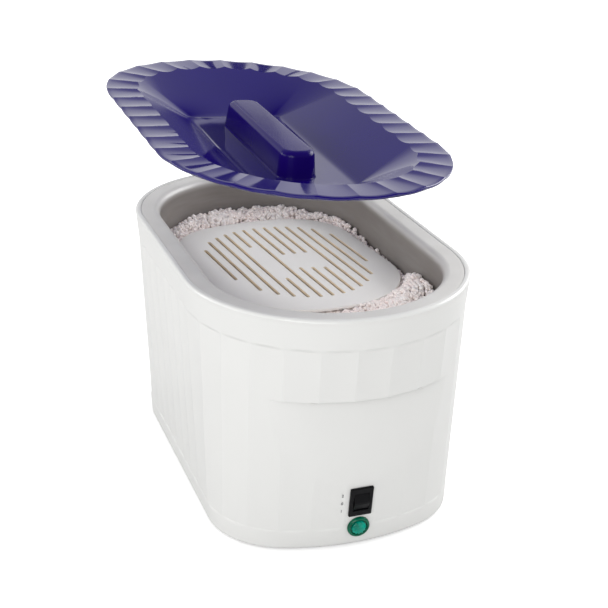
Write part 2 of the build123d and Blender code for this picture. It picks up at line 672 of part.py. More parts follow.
def scallops():
    """Tools that hollow the rim between the ridges."""
    alongs = ridge_alongs()
    total = LID_RADIUS * math.pi + STRAIGHT
    tools = []
    spans = list(zip(alongs, alongs[1:])) + [(alongs[-1], 2 * total - alongs[-1])]
    for low, high in spans:
        x, y, angle = rim_place((low + high) / 2)
        half_chord = (high - low) / 2
        radius = (half_chord ** 2 + SCALLOP_DEPTH ** 2) / (2 * SCALLOP_DEPTH)
        turn = math.degrees(angle)
        tool = Rot(0, 90, 0) * Cylinder(radius, 4 * RIM_WIDTH)
        height = LID_HOLLOW_Z + radius
        tools.append(Pos(x, y, height) * Rot(0, 0, turn) * tool)
        if high < total:
            tools.append(Pos(-x, y, height) * Rot(0, 0, 180 - turn) * tool)
    return tools


def handle_screw_places():
    return [(0, -HANDLE_SCREW_Y), (0, HANDLE_SCREW_Y)]


def seated_lid_shell():
    """The lid's moulding on its seat."""
    rim_top = LID_HOLLOW_Z + SCALLOP_DEPTH
    rim = extrude(stadium(LID_RADIUS, LID_LOW), rim_top - LID_LOW)
    for tool in scallops():
        rim -= tool
    under = dish(LID_THICK, LID_LOW, LID_FLOOR_Z - LID_THICK)
    over = dish(0, rim_top, LID_FLOOR_Z)
    shell = rim + under - over
    for x, y in handle_screw_places():
        shell -= rod(SCREW_RADIUS + WINDOW_GAP, x, y, LID_FLOOR_Z - THROUGH, LID_FLOOR_Z + 1)
    return shell


def handle_section(z, lean=0.0, end_lean=0.0, inset=0.0):
    """A level section of the handle at one height."""
    half_width = HANDLE_HALF_WIDTH - lean - inset
    half_length = HANDLE_HALF_LENGTH - end_lean - inset
    return Pos(0, 0, z) * RectangleRounded(2 * half_width, 2 * half_length, HANDLE_CORNER - lean - inset)


def seated_handle():
    """The hollow block handle on the floor of the dish."""
    top = LID_FLOOR_Z + HANDLE_HEIGHT
    high = handle_section(top, HANDLE_LEAN, HANDLE_END_LEAN)
    block = loft([handle_section(LID_FLOOR_Z), high], ruled=True)
    block = fillet(block.edges().group_by(Axis.Z)[-1], HANDLE_ROUND)
    hollow = handle_section(LID_FLOOR_Z, HANDLE_LEAN, HANDLE_END_LEAN, HANDLE_WALL)
    block -= extrude(hollow, HANDLE_HEIGHT - HANDLE_WALL)
    for x, y in handle_screw_places():
        block += rod(HANDLE_BOSS_RADIUS, x, y, LID_FLOOR_Z, top - HANDLE_WALL)
        block -= rod(SCREW_RADIUS, x, y, LID_FLOOR_Z, LID_FLOOR_Z + HANDLE_HEIGHT / 2)
    return block


def seated_handle_screws():
    """Two screws up through the lid's floor into the handle."""
    screws = []
    for x, y in handle_screw_places():
        under = LID_FLOOR_Z - LID_THICK
        shank = rod(SCREW_RADIUS, x, y, under, LID_FLOOR_Z + HANDLE_HEIGHT / 2)
        screws.append(shank + rod(HEAD_RADIUS, x, y, under - HEAD_THICK, under))
    return screws


def held(part):
    """Moves a piece of the seated lid to the place where the lid is held."""
    bearing = math.radians(LID_BEARING)
    line = Axis(
        (LID_ARM * math.sin(bearing), -LID_ARM * math.cos(bearing), LID_HOLLOW_Z + LID_ARM_RISE),
        (math.cos(bearing), math.sin(bearing), 0),
    )
    return part.rotate(Axis.Z, LID_TURN).rotate(line, LID_ANGLE)


def switch_body():
    """Bezel and body of the rocker switch, with the rocker's cavity."""
    bezel = extrude(RectangleRounded(BEZEL_WIDTH, BEZEL_HEIGHT, BEZEL_CORNER), BEZEL_THICK)
    bezel = chamfer(bezel.faces().sort_by(Axis.Z)[-1].edges(), BEZEL_CORNER / 2)
    body = Pos(0, 0, -SWITCH_DEPTH / 2) * Box(SWITCH_WIDTH, SWITCH_HEIGHT, SWITCH_DEPTH)
    cavity = Pos(0, 0, BEZEL_THICK - CAVITY_DEPTH / 2 + 0.5) * Box(CAVITY_WIDTH, CAVITY_HEIGHT, CAVITY_DEPTH + 1)
    bore = Pos(0, 0, BEZEL_THICK - PIN_DEPTH) * Rot(0, 90, 0) * Cylinder(PIN_RADIUS, SWITCH_WIDTH)
    return end_frame(SWITCH_Z) * (bezel + body - cavity - bore)


def rocker_pin():
    """The pin that the rocker turns on."""
    pin = Rot(0, 90, 0) * Cylinder(PIN_RADIUS, SWITCH_WIDTH)
    return end_frame(SWITCH_Z) * Pos(0, 0, BEZEL_THICK - PIN_DEPTH) * pin


def rocker():
    """The rocker, with a ridge across its middle, in its off position."""
    h, r = ROCKER_HALF_HEIGHT, ROCKER_RIDGE_HALF
    profile = [
        (-h, -ROCKER_BACK), (-h, ROCKER_FACE), (-r, ROCKER_RIDGE), (r, ROCKER_RIDGE),
        (h, ROCKER_FACE), (h, -ROCKER_BACK), (0, -2 * ROCKER_BACK),
    ]
    width = CAVITY_WIDTH - 2 * ROCKER_GAP
    face = make_face(Polyline(*[(-width / 2, y, z) for y, z in profile], close=True))
    block = extrude(face, width, dir=(1, 0, 0))
    block -= Rot(0, 90, 0) * Cylinder(PIN_RADIUS + PIN_RUN, 2 * width)
    return end_frame(SWITCH_Z) * Pos(0, 0, BEZEL_THICK - PIN_DEPTH) * block


def blade(x, y, top, length=BLADE_LENGTH):
    """A flat push-on terminal hanging down from a height."""
    return Pos(x, y, top - length / 2) * Box(BLADE_WIDTH, BLADE_THICK, length)


def switch_terminals():
    """Three blades on the back of the switch."""
    back = -SWITCH_DEPTH - BLADE_LENGTH / 2
    pitch = SWITCH_HEIGHT / 3
    blades = []
    for k in (-1, 0, 1):
        blades.append(end_frame(SWITCH_Z) * Pos(0, k * pitch, back) * Box(BLADE_WIDTH, BLADE_THICK, BLADE_LENGTH))
    return blades


def lamp_lens():
    """Green lens with a ring and a raised middle."""
    lens = Pos(0, 0, LENS_THICK / 2) * Cylinder(LENS_RADIUS, LENS_THICK)
    lens = fillet(lens.edges().group_by(Axis.Z)[-1], LENS_THICK / 3)
    groove = Cylinder(LENS_GROOVE_RADIUS, LENS_GROOVE_DEPTH) - Cylinder(LENS_BUTTON_RADIUS, LENS_GROOVE_DEPTH)
    lens -= Pos(0, 0, LENS_THICK - LENS_GROOVE_DEPTH / 2) * groove
    button = Pos(0, 0, LENS_THICK) * Cone(LENS_BUTTON_RADIUS, LENS_BUTTON_RADIUS - 1, LENS_BUTTON_RISE * 2)
    return end_frame(LAMP_Z) * (lens + button)


def lamp_body():
    """Round holder of the lamp behind the wall."""
    tube = Pos(0, 0, -LAMP_DEPTH / 2) * Cylinder(LAMP_RADIUS, LAMP_DEPTH)
    bore = Pos(0, 0, -LAMP_DEPTH / 2 + NUT_THICK) * Cylinder(LAMP_BORE, LAMP_DEPTH)
    return end_frame(LAMP_Z) * (tube - bore)


def lamp_bulb():
    """The small neon tube inside the holder."""
    length = LAMP_DEPTH - 2 * NUT_THICK
    bulb = Pos(0, 0, -LAMP_DEPTH + NUT_THICK + length / 2) * Cylinder(BULB_RADIUS, length)
    bulb = fillet(bulb.edges().group_by(Axis.Z)[-1], BULB_RADIUS / 2)
    return end_frame(LAMP_Z) * bulb


def lamp_nut():
    """Push-on nut behind the wall."""
    back = -(WALL + FLUTE_DEPTH + SOFT_GAP) - NUT_THICK / 2
    nut = Cylinder(NUT_RADIUS, NUT_THICK) - Cylinder(LAMP_RADIUS, NUT_THICK)
    return end_frame(LAMP_Z) * Pos(0, 0, back) * nut


def lamp_terminals():
    """Two blades on the back of the lamp."""
    back = -LAMP_DEPTH - BLADE_LENGTH / 2
    blades = []
    for side in (-1, 1):
        place = Pos(side * LAMP_RADIUS / 2, 0, back)
        blades.append(end_frame(LAMP_Z) * place * Box(BLADE_THICK, BLADE_WIDTH / 2, BLADE_LENGTH))
    return blades


def cord_gland():
    """Flanged bush for the supply cord, in the back wall."""
    flange = Pos(0, 0, GLAND_FLANGE_THICK / 2) * Cylinder(GLAND_FLANGE_RADIUS, GLAND_FLANGE_THICK)
    flange = fillet(flange.edges().group_by(Axis.Z)[-1], GLAND_FLANGE_THICK / 3)
    stem = Pos(0, 0, -(GLAND_LENGTH - GLAND_FLANGE_THICK) / 2) * Cylinder(GLAND_RADIUS, GLAND_LENGTH - GLAND_FLANGE_THICK)
    return end_frame(GLAND_Z, back=True) * (flange + stem - Cylinder(GLAND_BORE, THROUGH))


def gland_nut():
    """Hexagonal nut on the gland, inside the wall."""
    back = -(WALL + FLUTE_DEPTH + SOFT_GAP) - HEX_THICK
    nut = Pos(0, 0, back) * extrude(RegularPolygon(GLAND_FLANGE_RADIUS, 6), HEX_THICK)
    return end_frame(GLAND_Z, back=True) * (nut - Cylinder(GLAND_RADIUS, THROUGH))


def foot_places():
    return [(x, y) for x in (-FOOT_X, FOOT_X) for y in (-FOOT_Y, FOOT_Y)]


def rod_places():
    return [(x, y) for x in (-ROD_X, ROD_X) for y in (-ROD_Y, ROD_Y)]


def base_plate():
    """Steel plate that closes the underside, with vents."""
    plate = extrude(outline_face(PLATE_Z, WALL + FLUTE_DEPTH + PLATE_GAP), PLATE_THICK)
    for x, y in boss_places() + foot_places():
        plate -= rod(SCREW_RADIUS, x, y, 0, RIM_Z)
    for x, y in rod_places():
        plate -= rod(ROD_RADIUS, x, y, 0, RIM_Z)
    plate -= rod(SCREW_RADIUS, EARTH_X, EARTH_Y, 0, RIM_Z)
    slot = SlotOverall(VENT_LENGTH, VENT_WIDTH)
    for k in range(VENT_COUNT):
        y = (k - (VENT_COUNT - 1) / 2) * VENT_PITCH
        plate -= extrude(Pos(0, y, PLATE_Z - 1) * slot, PLATE_THICK + 2)
    return plate


def base_screws():
    """Pan-head screws that hold the base plate to the housing's bosses."""
    screws = []
    for x, y in boss_places():
        shank = rod(SCREW_RADIUS, x, y, PLATE_Z, BOSS_TOP_Z - WALL)
        screws.append(shank + rod(HEAD_RADIUS, x, y, PLATE_Z - HEAD_THICK, PLATE_Z))
    return screws


def feet():
    """Four rubber feet under the base plate."""
    pads = []
    for x, y in foot_places():
        pad = rod(FOOT_RADIUS, x, y, 0, PLATE_Z)
        pad -= rod(HEAD_RADIUS + WINDOW_GAP, x, y, -1, FOOT_SCREW_Z + HEAD_THICK)
        pads.append(pad - rod(SCREW_RADIUS, x, y, 0, PLATE_Z))
    return pads


def foot_screws():
    """Screws up through the feet into the plate."""
    screws = []
    for x, y in foot_places():
        head_top = FOOT_SCREW_Z + HEAD_THICK
        shank = rod(SCREW_RADIUS, x, y, head_top, PLATE_Z + 2 * HEAD_THICK)
        screws.append(shank + rod(HEAD_RADIUS, x, y, FOOT_SCREW_Z, head_top))
    return screws


TANK_UNDER = TANK_FLOOR_Z - SHEET
PAD_HEATER_LOW = TANK_UNDER - PAD_HEATER_THICK
PAD_LOW = PAD_HEATER_LOW - PAD_THICK
CLAMP_LOW = PAD_LOW - CLAMP_THICK


def stack_layer(low, thick, shrink=0.0):
    """One flat layer of the stack under the tank, with holes for the rods."""
    radius = STACK_HALF_WIDTH - shrink
    layer = extrude(stadium(radius, low, 2 * (STACK_HALF_LENGTH - STACK_HALF_WIDTH)), thick)
    for x, y in rod_places():
        layer -= rod(ROD_RADIUS, x, y, low - 1, low + thick + 1)
    return layer


def tie_rods():
    """Studs on the tank's floor that reach down through the base plate."""
    return [rod(ROD_RADIUS, x, y, ROD_END_Z, TANK_UNDER) for x, y in rod_places()]


def nuts_on_rods(low, thick):
    """One hexagonal nut on each rod."""
    nuts = []
    for x, y in rod_places():
        nuts.append(hexagon(HEX_RADIUS, x, y, low, low + thick) - rod(ROD_RADIUS, x, y, low, low + thick))
    return nuts


def disc_thermostat(x):
    """Snap-disc thermostat against the tank's floor, with two blades."""
    low = TANK_UNDER - DISC_HEIGHT
    disc = rod(DISC_RADIUS, x, DISC_Y, low, TANK_UNDER)
    for side in (-1, 1):
        disc += blade(x, DISC_Y + side * BLADE_OFFSET, low)
    return disc


def thermostat_bar():
    """Flat spring bar that presses both thermostats to the tank."""
    low = TANK_UNDER - DISC_HEIGHT - BAR_THICK
    bar = Pos(0, DISC_Y, low + BAR_THICK / 2) * Box(2 * BAR_HALF_LENGTH, BAR_WIDTH, BAR_THICK)
    return bar - rod(STUD_RADIUS, 0, DISC_Y, 0, RIM_Z)


def stud_with_nut(x, y, plate_low):
    """A short stud on the tank's floor and the nut that closes a plate on it."""
    stud = rod(STUD_RADIUS, x, y, plate_low - 2 * STUD_HEX_THICK, TANK_UNDER)
    nut = hexagon(STUD_HEX, x, y, plate_low - STUD_HEX_THICK, plate_low)
    return stud, nut - rod(STUD_RADIUS, x, y, 0, RIM_Z)


def thermal_fuse():
    """One-shot fuse lying against the tank's floor."""
    z = TANK_UNDER - FUSE_RADIUS
    return Pos(0, FUSE_Y, z) * Rot(0, 90, 0) * Cylinder(FUSE_RADIUS, FUSE_LENGTH)


def fuse_clip():
    """Folded strip that holds the fuse, with a tail for its stud."""
    low = TANK_UNDER - 2 * FUSE_RADIUS - CLIP_THICK
    depth = 2 * FUSE_RADIUS + CLIP_THICK
    strap = Pos(0, FUSE_Y, low + CLIP_THICK / 2) * Box(CLIP_WIDTH, 2 * FUSE_RADIUS + 2 * CLIP_THICK, CLIP_THICK)
    for side in (-1, 1):
        y = FUSE_Y + side * (FUSE_RADIUS + CLIP_THICK / 2)
        strap += Pos(0, y, TANK_UNDER - depth / 2) * Box(CLIP_WIDTH, CLIP_THICK, depth)
    tail_y = FUSE_Y - FUSE_RADIUS - CLIP_THICK - CLIP_TAIL / 2
    strap += Pos(0, tail_y, TANK_UNDER - CLIP_THICK / 2) * Box(CLIP_WIDTH, CLIP_TAIL, CLIP_THICK)
    return strap - rod(STUD_RADIUS, 0, tail_y, 0, RIM_Z)


def fuse_stud_y():
    return FUSE_Y - FUSE_RADIUS - CLIP_THICK - CLIP_TAIL / 2


def way_places():
    start = BLOCK_X - (BLOCK_WAYS - 1) / 2 * BLOCK_PITCH
    return [start + k * BLOCK_PITCH for k in range(BLOCK_WAYS)]


def terminal_block():
    """Insulated block where the supply cord ends."""
    low = PLATE_Z + PLATE_THICK
    block = Pos(BLOCK_X, BLOCK_Y, low + BLOCK_SIZE[2] / 2) * Box(*BLOCK_SIZE)
    middle = low + BLOCK_SIZE[2] / 2
    for x in way_places():
        block -= Pos(x, BLOCK_Y, middle) * Rot(90, 0, 0) * Cylinder(LEAD_RADIUS + SOFT_GAP, 2 * BLOCK_SIZE[1])
        block -= rod(WAY_SCREW_RADIUS, x, BLOCK_Y, middle, RIM_Z)
    return block


def terminal_screws():
    """Clamp screws in the block."""
    top = PLATE_Z + PLATE_THICK + BLOCK_SIZE[2] - 1
    return [rod(WAY_SCREW_RADIUS, x, BLOCK_Y, top - WAY_SCREW_LENGTH, top) for x in way_places()]


def earth_tag():
    """Ring tag on the base plate."""
    low = PLATE_Z + PLATE_THICK
    tag = rod(TAG_RADIUS, EARTH_X, EARTH_Y, low, low + TAG_THICK)
    tail = Pos(EARTH_X, EARTH_Y - 2 * TAG_RADIUS, low + TAG_THICK / 2) * Box(BLADE_WIDTH, 3 * TAG_RADIUS, TAG_THICK)
    return tag + tail - rod(SCREW_RADIUS, EARTH_X, EARTH_Y, 0, RIM_Z)


def earth_screw():
    """Screw up through the plate and its nut over the tag, as one stud."""
    low = PLATE_Z + PLATE_THICK + TAG_THICK
    shank = rod(SCREW_RADIUS, EARTH_X, EARTH_Y, PLATE_Z, low + EARTH_LENGTH)
    head = rod(HEAD_RADIUS, EARTH_X, EARTH_Y, PLATE_Z - HEAD_THICK, PLATE_Z)
    return shank + head + hexagon(STUD_HEX, EARTH_X, EARTH_Y, low, low + STUD_HEX_THICK)


def bend_radii(points):
    """Arc radii along a lead: 0.45 of the shorter run over the tangent of half the turn."""
    radii = []
    for a, b, c in zip(points, points[1:], points[2:]):
        first, second = Vector(*b) - Vector(*a), Vector(*c) - Vector(*b)
        turn = math.radians(first.get_angle(second))
        radii.append(0.45 * min(first.length, second.length) / math.tan(turn / 2))
    return radii


def lead_path(points):
    """The middle line of a lead: straight runs joined by tangent arcs."""
    return FilletPolyline(*points, radius=bend_radii(points))


def lead(points):
    """A round insulated wire along a route."""
    path = lead_path(points)
    start = Plane(origin=path @ 0, z_dir=path % 0)
    tube = sweep(start * Circle(LEAD_RADIUS), path=path)
    share = tube.volume / (math.pi * LEAD_RADIUS ** 2 * path.length)
    print("lead radii", [round(r, 1) for r in bend_radii(points)], "volume share", round(share, 3))
    return tube


def behind(frame_z, x, height, depth):
    """A point behind the front wall, given across it, up it and into it."""
    place = (end_frame(frame_z) * Pos(x, height, -depth)).position
    return place.X, place.Y, place.Z


PLATE_TOP = PLATE_Z + PLATE_THICK
WAY_Z = PLATE_TOP + BLOCK_SIZE[2] / 2
LIE_Z = PLATE_TOP + LEAD_RADIUS + SOFT_GAP
BLADE_END = SWITCH_DEPTH + BLADE_LENGTH + SOFT_GAP
DISC_BLADE_Z = TANK_UNDER - DISC_HEIGHT - BLADE_LENGTH - SOFT_GAP


def supply_points():
    """From the terminal block forward over the base plate to the switch's middle blade."""
    x, step = way_places()[2], LEAD_STEP
    return [
        (x, BLOCK_Y, WAY_Z), (x, BLOCK_Y - 8 * step, WAY_Z), (x, BLOCK_Y - 15 * step, LIE_Z),
        (x - 2 * step, BLOCK_Y - 22 * step, LIE_Z), (x - 3 * step, BLOCK_Y - 36 * step, LIE_Z),
        (x - 2 * step, DISC_Y + 27 * step, LIE_Z), (x - 4 * step, DISC_Y + 14 * step, LIE_Z + step),
        (3 * step, DISC_Y + 3 * step, 10 * step),
        behind(SWITCH_Z, 0, 0, BLADE_END + 3 * step), behind(SWITCH_Z, 0, 0, BLADE_END),
    ]


def thermostat_points():
    """From the switch's upper blade down and up again to the thermostat's front blade."""
    height, step = SWITCH_HEIGHT / 3, LEAD_STEP
    y = DISC_Y - BLADE_OFFSET
    return [
        behind(SWITCH_Z, 0, height, BLADE_END), behind(SWITCH_Z, -step / 2, height, BLADE_END + 2 * step),
        (-3 * step, y, DISC_BLADE_Z - 2 * step), (-DISC_X, y, DISC_BLADE_Z - 4 * step), (-DISC_X, y, DISC_BLADE_Z),
    ]


def lamp_points():
    """From the switch's lower blade down to the lamp."""
    height, step = -SWITCH_HEIGHT / 3, LEAD_STEP
    end = LAMP_DEPTH + BLADE_LENGTH + SOFT_GAP
    return [
        behind(SWITCH_Z, 0, height, BLADE_END), behind(SWITCH_Z, -step, height, BLADE_END + 3 * step),
        behind(SWITCH_Z, -3 * step, height - 3 * step, BLADE_END + 4 * step),
        behind(LAMP_Z, -LAMP_RADIUS / 2, 0, end + 3 * step), behind(LAMP_Z, -LAMP_RADIUS / 2, 0, end),
    ]


def melt_points():
    """From the second thermostat to the pad heater's front edge."""
    y, step = DISC_Y + BLADE_OFFSET, LEAD_STEP
    edge_y = -STACK_HALF_LENGTH - LEAD_RADIUS - SOFT_GAP
    return [
        (DISC_X, y, DISC_BLADE_Z), (DISC_X, y, DISC_BLADE_Z - 2 * step),
        (DISC_X + 2.5 * step, y + 1.5 * step, DISC_BLADE_Z - 2 * step),
        (DISC_X + 3 * step, edge_y, TANK_UNDER - 5 * step), (DISC_X + 3 * step, edge_y, PAD_LOW),
    ]


def return_points():
    """From the fuse round the back of the block into its middle way."""
    x, step = way_places()[1], LEAD_STEP
    fuse_z = TANK_UNDER - FUSE_RADIUS
    start = FUSE_LENGTH / 2 + SOFT_GAP
    return [
        (start, FUSE_Y, fuse_z), (start + 3 * step, FUSE_Y, fuse_z), (x + step, FUSE_Y + step, fuse_z - 3 * step),
        (x, FUSE_Y + 4 * step, fuse_z - 8 * step), (x, BLOCK_Y + 9 * step, WAY_Z + 2 * step),
        (x, BLOCK_Y + 6 * step, WAY_Z), (x, BLOCK_Y, WAY_Z),
    ]


def earth_points():
    """From the block to the earth tag's tail."""
    x, step = way_places()[0], LEAD_STEP
    tail_y = EARTH_Y - 3.5 * TAG_RADIUS - SOFT_GAP
    return [
        (x, BLOCK_Y, WAY_Z), (x, BLOCK_Y - 7 * step, WAY_Z), (x - 3 * step, BLOCK_Y - 11 * step, LIE_Z),
        (x - 8 * step, BLOCK_Y - 12 * step, LIE_Z), (EARTH_X + step, BLOCK_Y - 12 * step, LIE_Z),
        (EARTH_X, tail_y, LIE_Z),
    ]


def lead_saddles():
    """Small saddles that hold the supply lead down on the plate."""
    path = lead_path(supply_points())
    tunnel_height = 2 * (LEAD_RADIUS + SOFT_GAP)
    width = tunnel_height + 2 * SADDLE_WALL
    height = tunnel_height + SADDLE_WALL
    saddles = []
    for share in SADDLE_SHARES:
        place, along = path @ share, path % share
        frame = Plane(origin=(place.X, place.Y, PLATE_TOP), x_dir=(along.X, along.Y, 0), z_dir=(0, 0, 1)).location
        block = Pos(0, 0, height / 2) * Box(SADDLE_LENGTH, width, height)
        tunnel = Pos(0, 0, tunnel_height / 2) * Box(2 * SADDLE_LENGTH, tunnel_height, tunnel_height)
        saddles.append(frame * (block - tunnel))
    return saddles


def write(name, shape):
    """Writes one piece, or a group of alike pieces, to its file."""
    if isinstance(shape, list):
        shape = Compound(children=[s for part in shape for s in part.solids()])
    export_step(shape, f"parts/{name}.step")


write("housing", housing())
write("rim_gasket", rim_gasket())
write("tank", tank())
write("wax_beads", wax_beads())
write("heater_band", heater_band())
write("insulation_wrap", insulation_wrap())
write("melt_heater", stack_layer(PAD_HEATER_LOW, PAD_HEATER_THICK, PAD_MARGIN))
write("insulation_pad", stack_layer(PAD_LOW, PAD_THICK))
write("clamp_plate", stack_layer(CLAMP_LOW, CLAMP_THICK))
write("tie_rods", tie_rods())
write("clamp_nuts", nuts_on_rods(CLAMP_LOW - HEX_THICK, HEX_THICK))
write("tie_nuts", nuts_on_rods(PLATE_Z - LOW_HEX_THICK, LOW_HEX_THICK))
write("thermostat", disc_thermostat(-DISC_X))
write("melt_thermostat", disc_thermostat(DISC_X))
write("thermostat_bar", thermostat_bar())
bar_stud, bar_nut = stud_with_nut(0, DISC_Y, TANK_UNDER - DISC_HEIGHT - BAR_THICK)
fuse_stud, fuse_nut = stud_with_nut(0, fuse_stud_y(), TANK_UNDER - CLIP_THICK)
write("tank_studs", [bar_stud, fuse_stud])
write("stud_nuts", [bar_nut, fuse_nut])
write("thermal_fuse", thermal_fuse())
write("fuse_clip", fuse_clip())
write("base_plate", base_plate())
write("base_screws", base_screws())
write("feet", feet())
write("foot_screws", foot_screws())
write("switch_body", switch_body())
write("switch_terminals", switch_terminals())
write("rocker_pin", rocker_pin())
write("rocker", rocker())
write("lamp_lens", lamp_lens())
write("lamp_body", lamp_body())
write("lamp_bulb", lamp_bulb())
write("lamp_nut", lamp_nut())
write("lamp_terminals", lamp_terminals())
write("cord_gland", cord_gland())
write("gland_nut", gland_nut())
write("terminal_block", terminal_block())
write("terminal_screws", terminal_screws())
write("earth_tag", earth_tag())
write("earth_screw", earth_screw())
write("supply_lead", lead(supply_points()))
write("thermostat_lead", lead(thermostat_points()))
write("lamp_lead", lead(lamp_points()))
write("melt_lead", lead(melt_points()))
write("return_lead", lead(return_points()))
write("earth_lead", lead(earth_points()))
write("lead_saddles", lead_saddles())
write("grid", grid())
write("lid_shell", held(seated_lid_shell()))
write("lid_handle", held(seated_handle()))
write("handle_screws", [held(s) for s in seated_handle_screws()])
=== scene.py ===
import json
from math import asin, atan2, cos, exp, hypot, log1p, pi, radians, sin, sqrt
import bpy
import bmesh
import numpy as np
from mathutils import Matrix, Vector, noise

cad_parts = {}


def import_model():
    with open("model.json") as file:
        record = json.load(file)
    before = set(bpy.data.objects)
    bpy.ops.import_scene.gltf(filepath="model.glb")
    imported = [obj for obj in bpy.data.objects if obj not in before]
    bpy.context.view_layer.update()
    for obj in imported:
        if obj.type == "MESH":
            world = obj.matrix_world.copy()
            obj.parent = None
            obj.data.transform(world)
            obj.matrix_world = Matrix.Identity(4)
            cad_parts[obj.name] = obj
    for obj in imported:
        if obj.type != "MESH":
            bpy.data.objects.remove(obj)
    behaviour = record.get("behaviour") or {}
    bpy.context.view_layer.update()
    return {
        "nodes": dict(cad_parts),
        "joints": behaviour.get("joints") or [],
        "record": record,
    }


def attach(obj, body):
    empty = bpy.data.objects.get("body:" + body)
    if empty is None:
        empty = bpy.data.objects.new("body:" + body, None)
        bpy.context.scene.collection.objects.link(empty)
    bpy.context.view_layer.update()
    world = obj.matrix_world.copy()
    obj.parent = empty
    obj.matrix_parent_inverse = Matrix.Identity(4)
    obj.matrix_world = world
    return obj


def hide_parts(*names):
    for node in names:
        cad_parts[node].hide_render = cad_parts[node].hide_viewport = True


# A table-top paraffin bath with its lid held over it. Lengths are in millimetres up to the mesh, which is
# in metres. The long axis lies along Y and the end with the switch faces -Y.

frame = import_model()
MM = 0.001

# Housing
RIM_Z = 206.0
RIM_RADIUS = 115.0
STRAIGHT = 150.0
BASE_Z = 1.6
BASE_END_TAPER = 26.7  # how much each end comes in from the rim to the table
BASE_SIDE_TAPER = 13.0
BASE_END_RADIUS = 182.0
BASE_CORNER_RADIUS = 62.6
BASE_EDGE = 2.4
COLLAR_Z = 182.2
COLLAR_TAPER = 2.2
COLLAR_RADIUS = RIM_RADIUS - COLLAR_TAPER
BAND_Z = 18.5
LIP_ROUND = 2.6
WALL = 3.0
END_FACETS = 13
FACET = pi / END_FACETS * COLLAR_RADIUS
SIDE_FLUTES = 6
FLUTE_TOP = 1.3  # hollow of flutes and facets under the collar
FLUTE_FOOT = 0.45  # and over the foot band
SIDE_DEEPER = 1.5  # the flutes of the long sides are deeper by this
LEDGE_Z = 136.5
LEDGE_EDGE = 2.6  # the ledge is flat below up to this far from its front
PANEL_DEPTH = 8.0
PANEL_HALF_WIDTH = 98.5
PANEL_HALF_DEPTH = 50.4
PANEL_SLOPE = 0.026
PANEL_REACH = 90.0

# Tank
FLANGE_RADIUS = 110.1
FLANGE_Z = 205.4
SHEET = 1.5
TANK_TOP_RADIUS = 94.0
TANK_FLOOR_RADIUS = 83.0
TANK_FLOOR_Z = 66.0
TANK_CORNER = 18.0
ROLL_RADIUS = 6.0
RABBET_GAP = 0.15
SHELF_Z = 202.9
SHELF_RADIUS = 104.0
SHELF_THICK = 3.0
WALL_SHADE_Z = (196.5, 205.2)  # heights over which the painted shade on the walls gives way to the lighter, lit flange
# Painted shade: one metal in two tones, darker on the walls inside the pan and lighter on the flange, as
# light falls into it
PAINTED_WALL_SHADES = ((0.235, 0.215, 0.20), (0.27, 0.25, 0.235))
LIT_FLANGE_SHADES = ((0.66, 0.65, 0.63), (0.72, 0.71, 0.69))
DRAWN = (1, 1, 6)  # the drawn sheet's grain is this much finer along Z

# Wax and grid
WAX_Z = 170.7
CRUMB_SEED = 11
CRUMB_SHAPES = 20
BEAD = 4.5  # mean size of a crumb of wax
BEAD_SIZES = (0.72, 1.28)  # least and largest, as shares of it
BEAD_PITCH = 3.1
BEAD_STRAY = 1.3  # how far a crumb may lie from its place in the lattice
LAYERS = 3  # of crumbs, one under the other
LAYER_DROPS = (1.5, 3.0)
LAYER_STRAY = 1.5
LAYER_HOLES = 0.3  # share of the places left empty in the lower layers
ONE_LAYER = -6.0  # places this far in under the grid have one layer only
WALL_GAP = 0.4
BANK = 2.6  # height of the heap beside the grid
BACK_BANK = 3.4  # and how much more at the back
NEAR_BANK = 9.5  # and at the near right
TUCKED = 2.5  # crumbs no farther out than this stay below the grid
HEAP_TOP = 14.0  # the most that the heap stands over its mean level
UNDER_DISH = 8.0  # and the most under the seated lid's dish
GRID_THICK = 3.0
GRID_EDGE = 1.1
GRID_LIFT = 0.3
GRID_CENTRE = (3.06, 16.95)
GRID_TURN = 4.75
GRID_HALF_WIDTH = 80.3
GRID_HALF_LENGTH = 107.85
GRID_FAR = (55.0, 287.0)  # corner radius and end radius towards +Y
GRID_NEAR = (73.0, 124.0)
SLOTS = 13
SLOT_PITCH = 10.1
SLOT_WIDTH = 2.3
SLOT_SHIFT = 1.9
SLOT_SPREAD = 61.5  # the slots end on two half ellipses of this half width
SLOT_FAR = (88.5, 46.0)  # furthest reach and bow of the ellipse towards +Y
SLOT_NEAR = (84.25, 72.0)
PLAIN_STRETCHES = {  # the slots that stop short of the middle, and where
    4: (-36.0, 43.0), 6: (-18.0, 16.0), 7: (-21.0, 15.0), 8: (-24.0, 14.0)}

# Lid
LID_RADIUS = 116.0
LID_END = LID_RADIUS * pi / 2  # length of half of a round end
LID_LOW = 206.3
LID_THICK = 2.2
SCALLOP_DEPTH = 1.6  # the ridges are level, this far over the mean hollow
HOLLOW_OUTER = 0.8  # depth of a hollow at the lid's edge
HOLLOW_INNER = 1.4  # and where it runs out into the dish
LID_END_SCALLOPS = 12
LID_SIDE_PITCHES = 5.5
RIM_WIDTH = 25.5
DISH_DEPTH = 25.6
DISH_HALF_WIDTH = 42.0  # of its floor
DISH_HALF_LENGTH = 95.5
DISH_CORNER = 4.0
DISH_CORNER_ANGLE = 60.0
DISH_SOFT = 0.8  # softness of the corner between wall and floor
EDGE_ROUND = 0.7
RIDGE_Z = LID_LOW + LID_THICK + SCALLOP_DEPTH
DISH_Z = LID_LOW + LID_THICK - DISH_DEPTH
HANDLE_HALF_WIDTH = 16.2
HANDLE_HALF_LENGTH = 78.5
HANDLE_LEAN = 2.4
HANDLE_END_LEAN = 3.5
HANDLE_HEIGHT = 21.6
HANDLE_CORNER = 13.0
HANDLE_ROUND = 4.4
LID_TURN = 1.0  # the lid on its seat is this far out of line with the bath

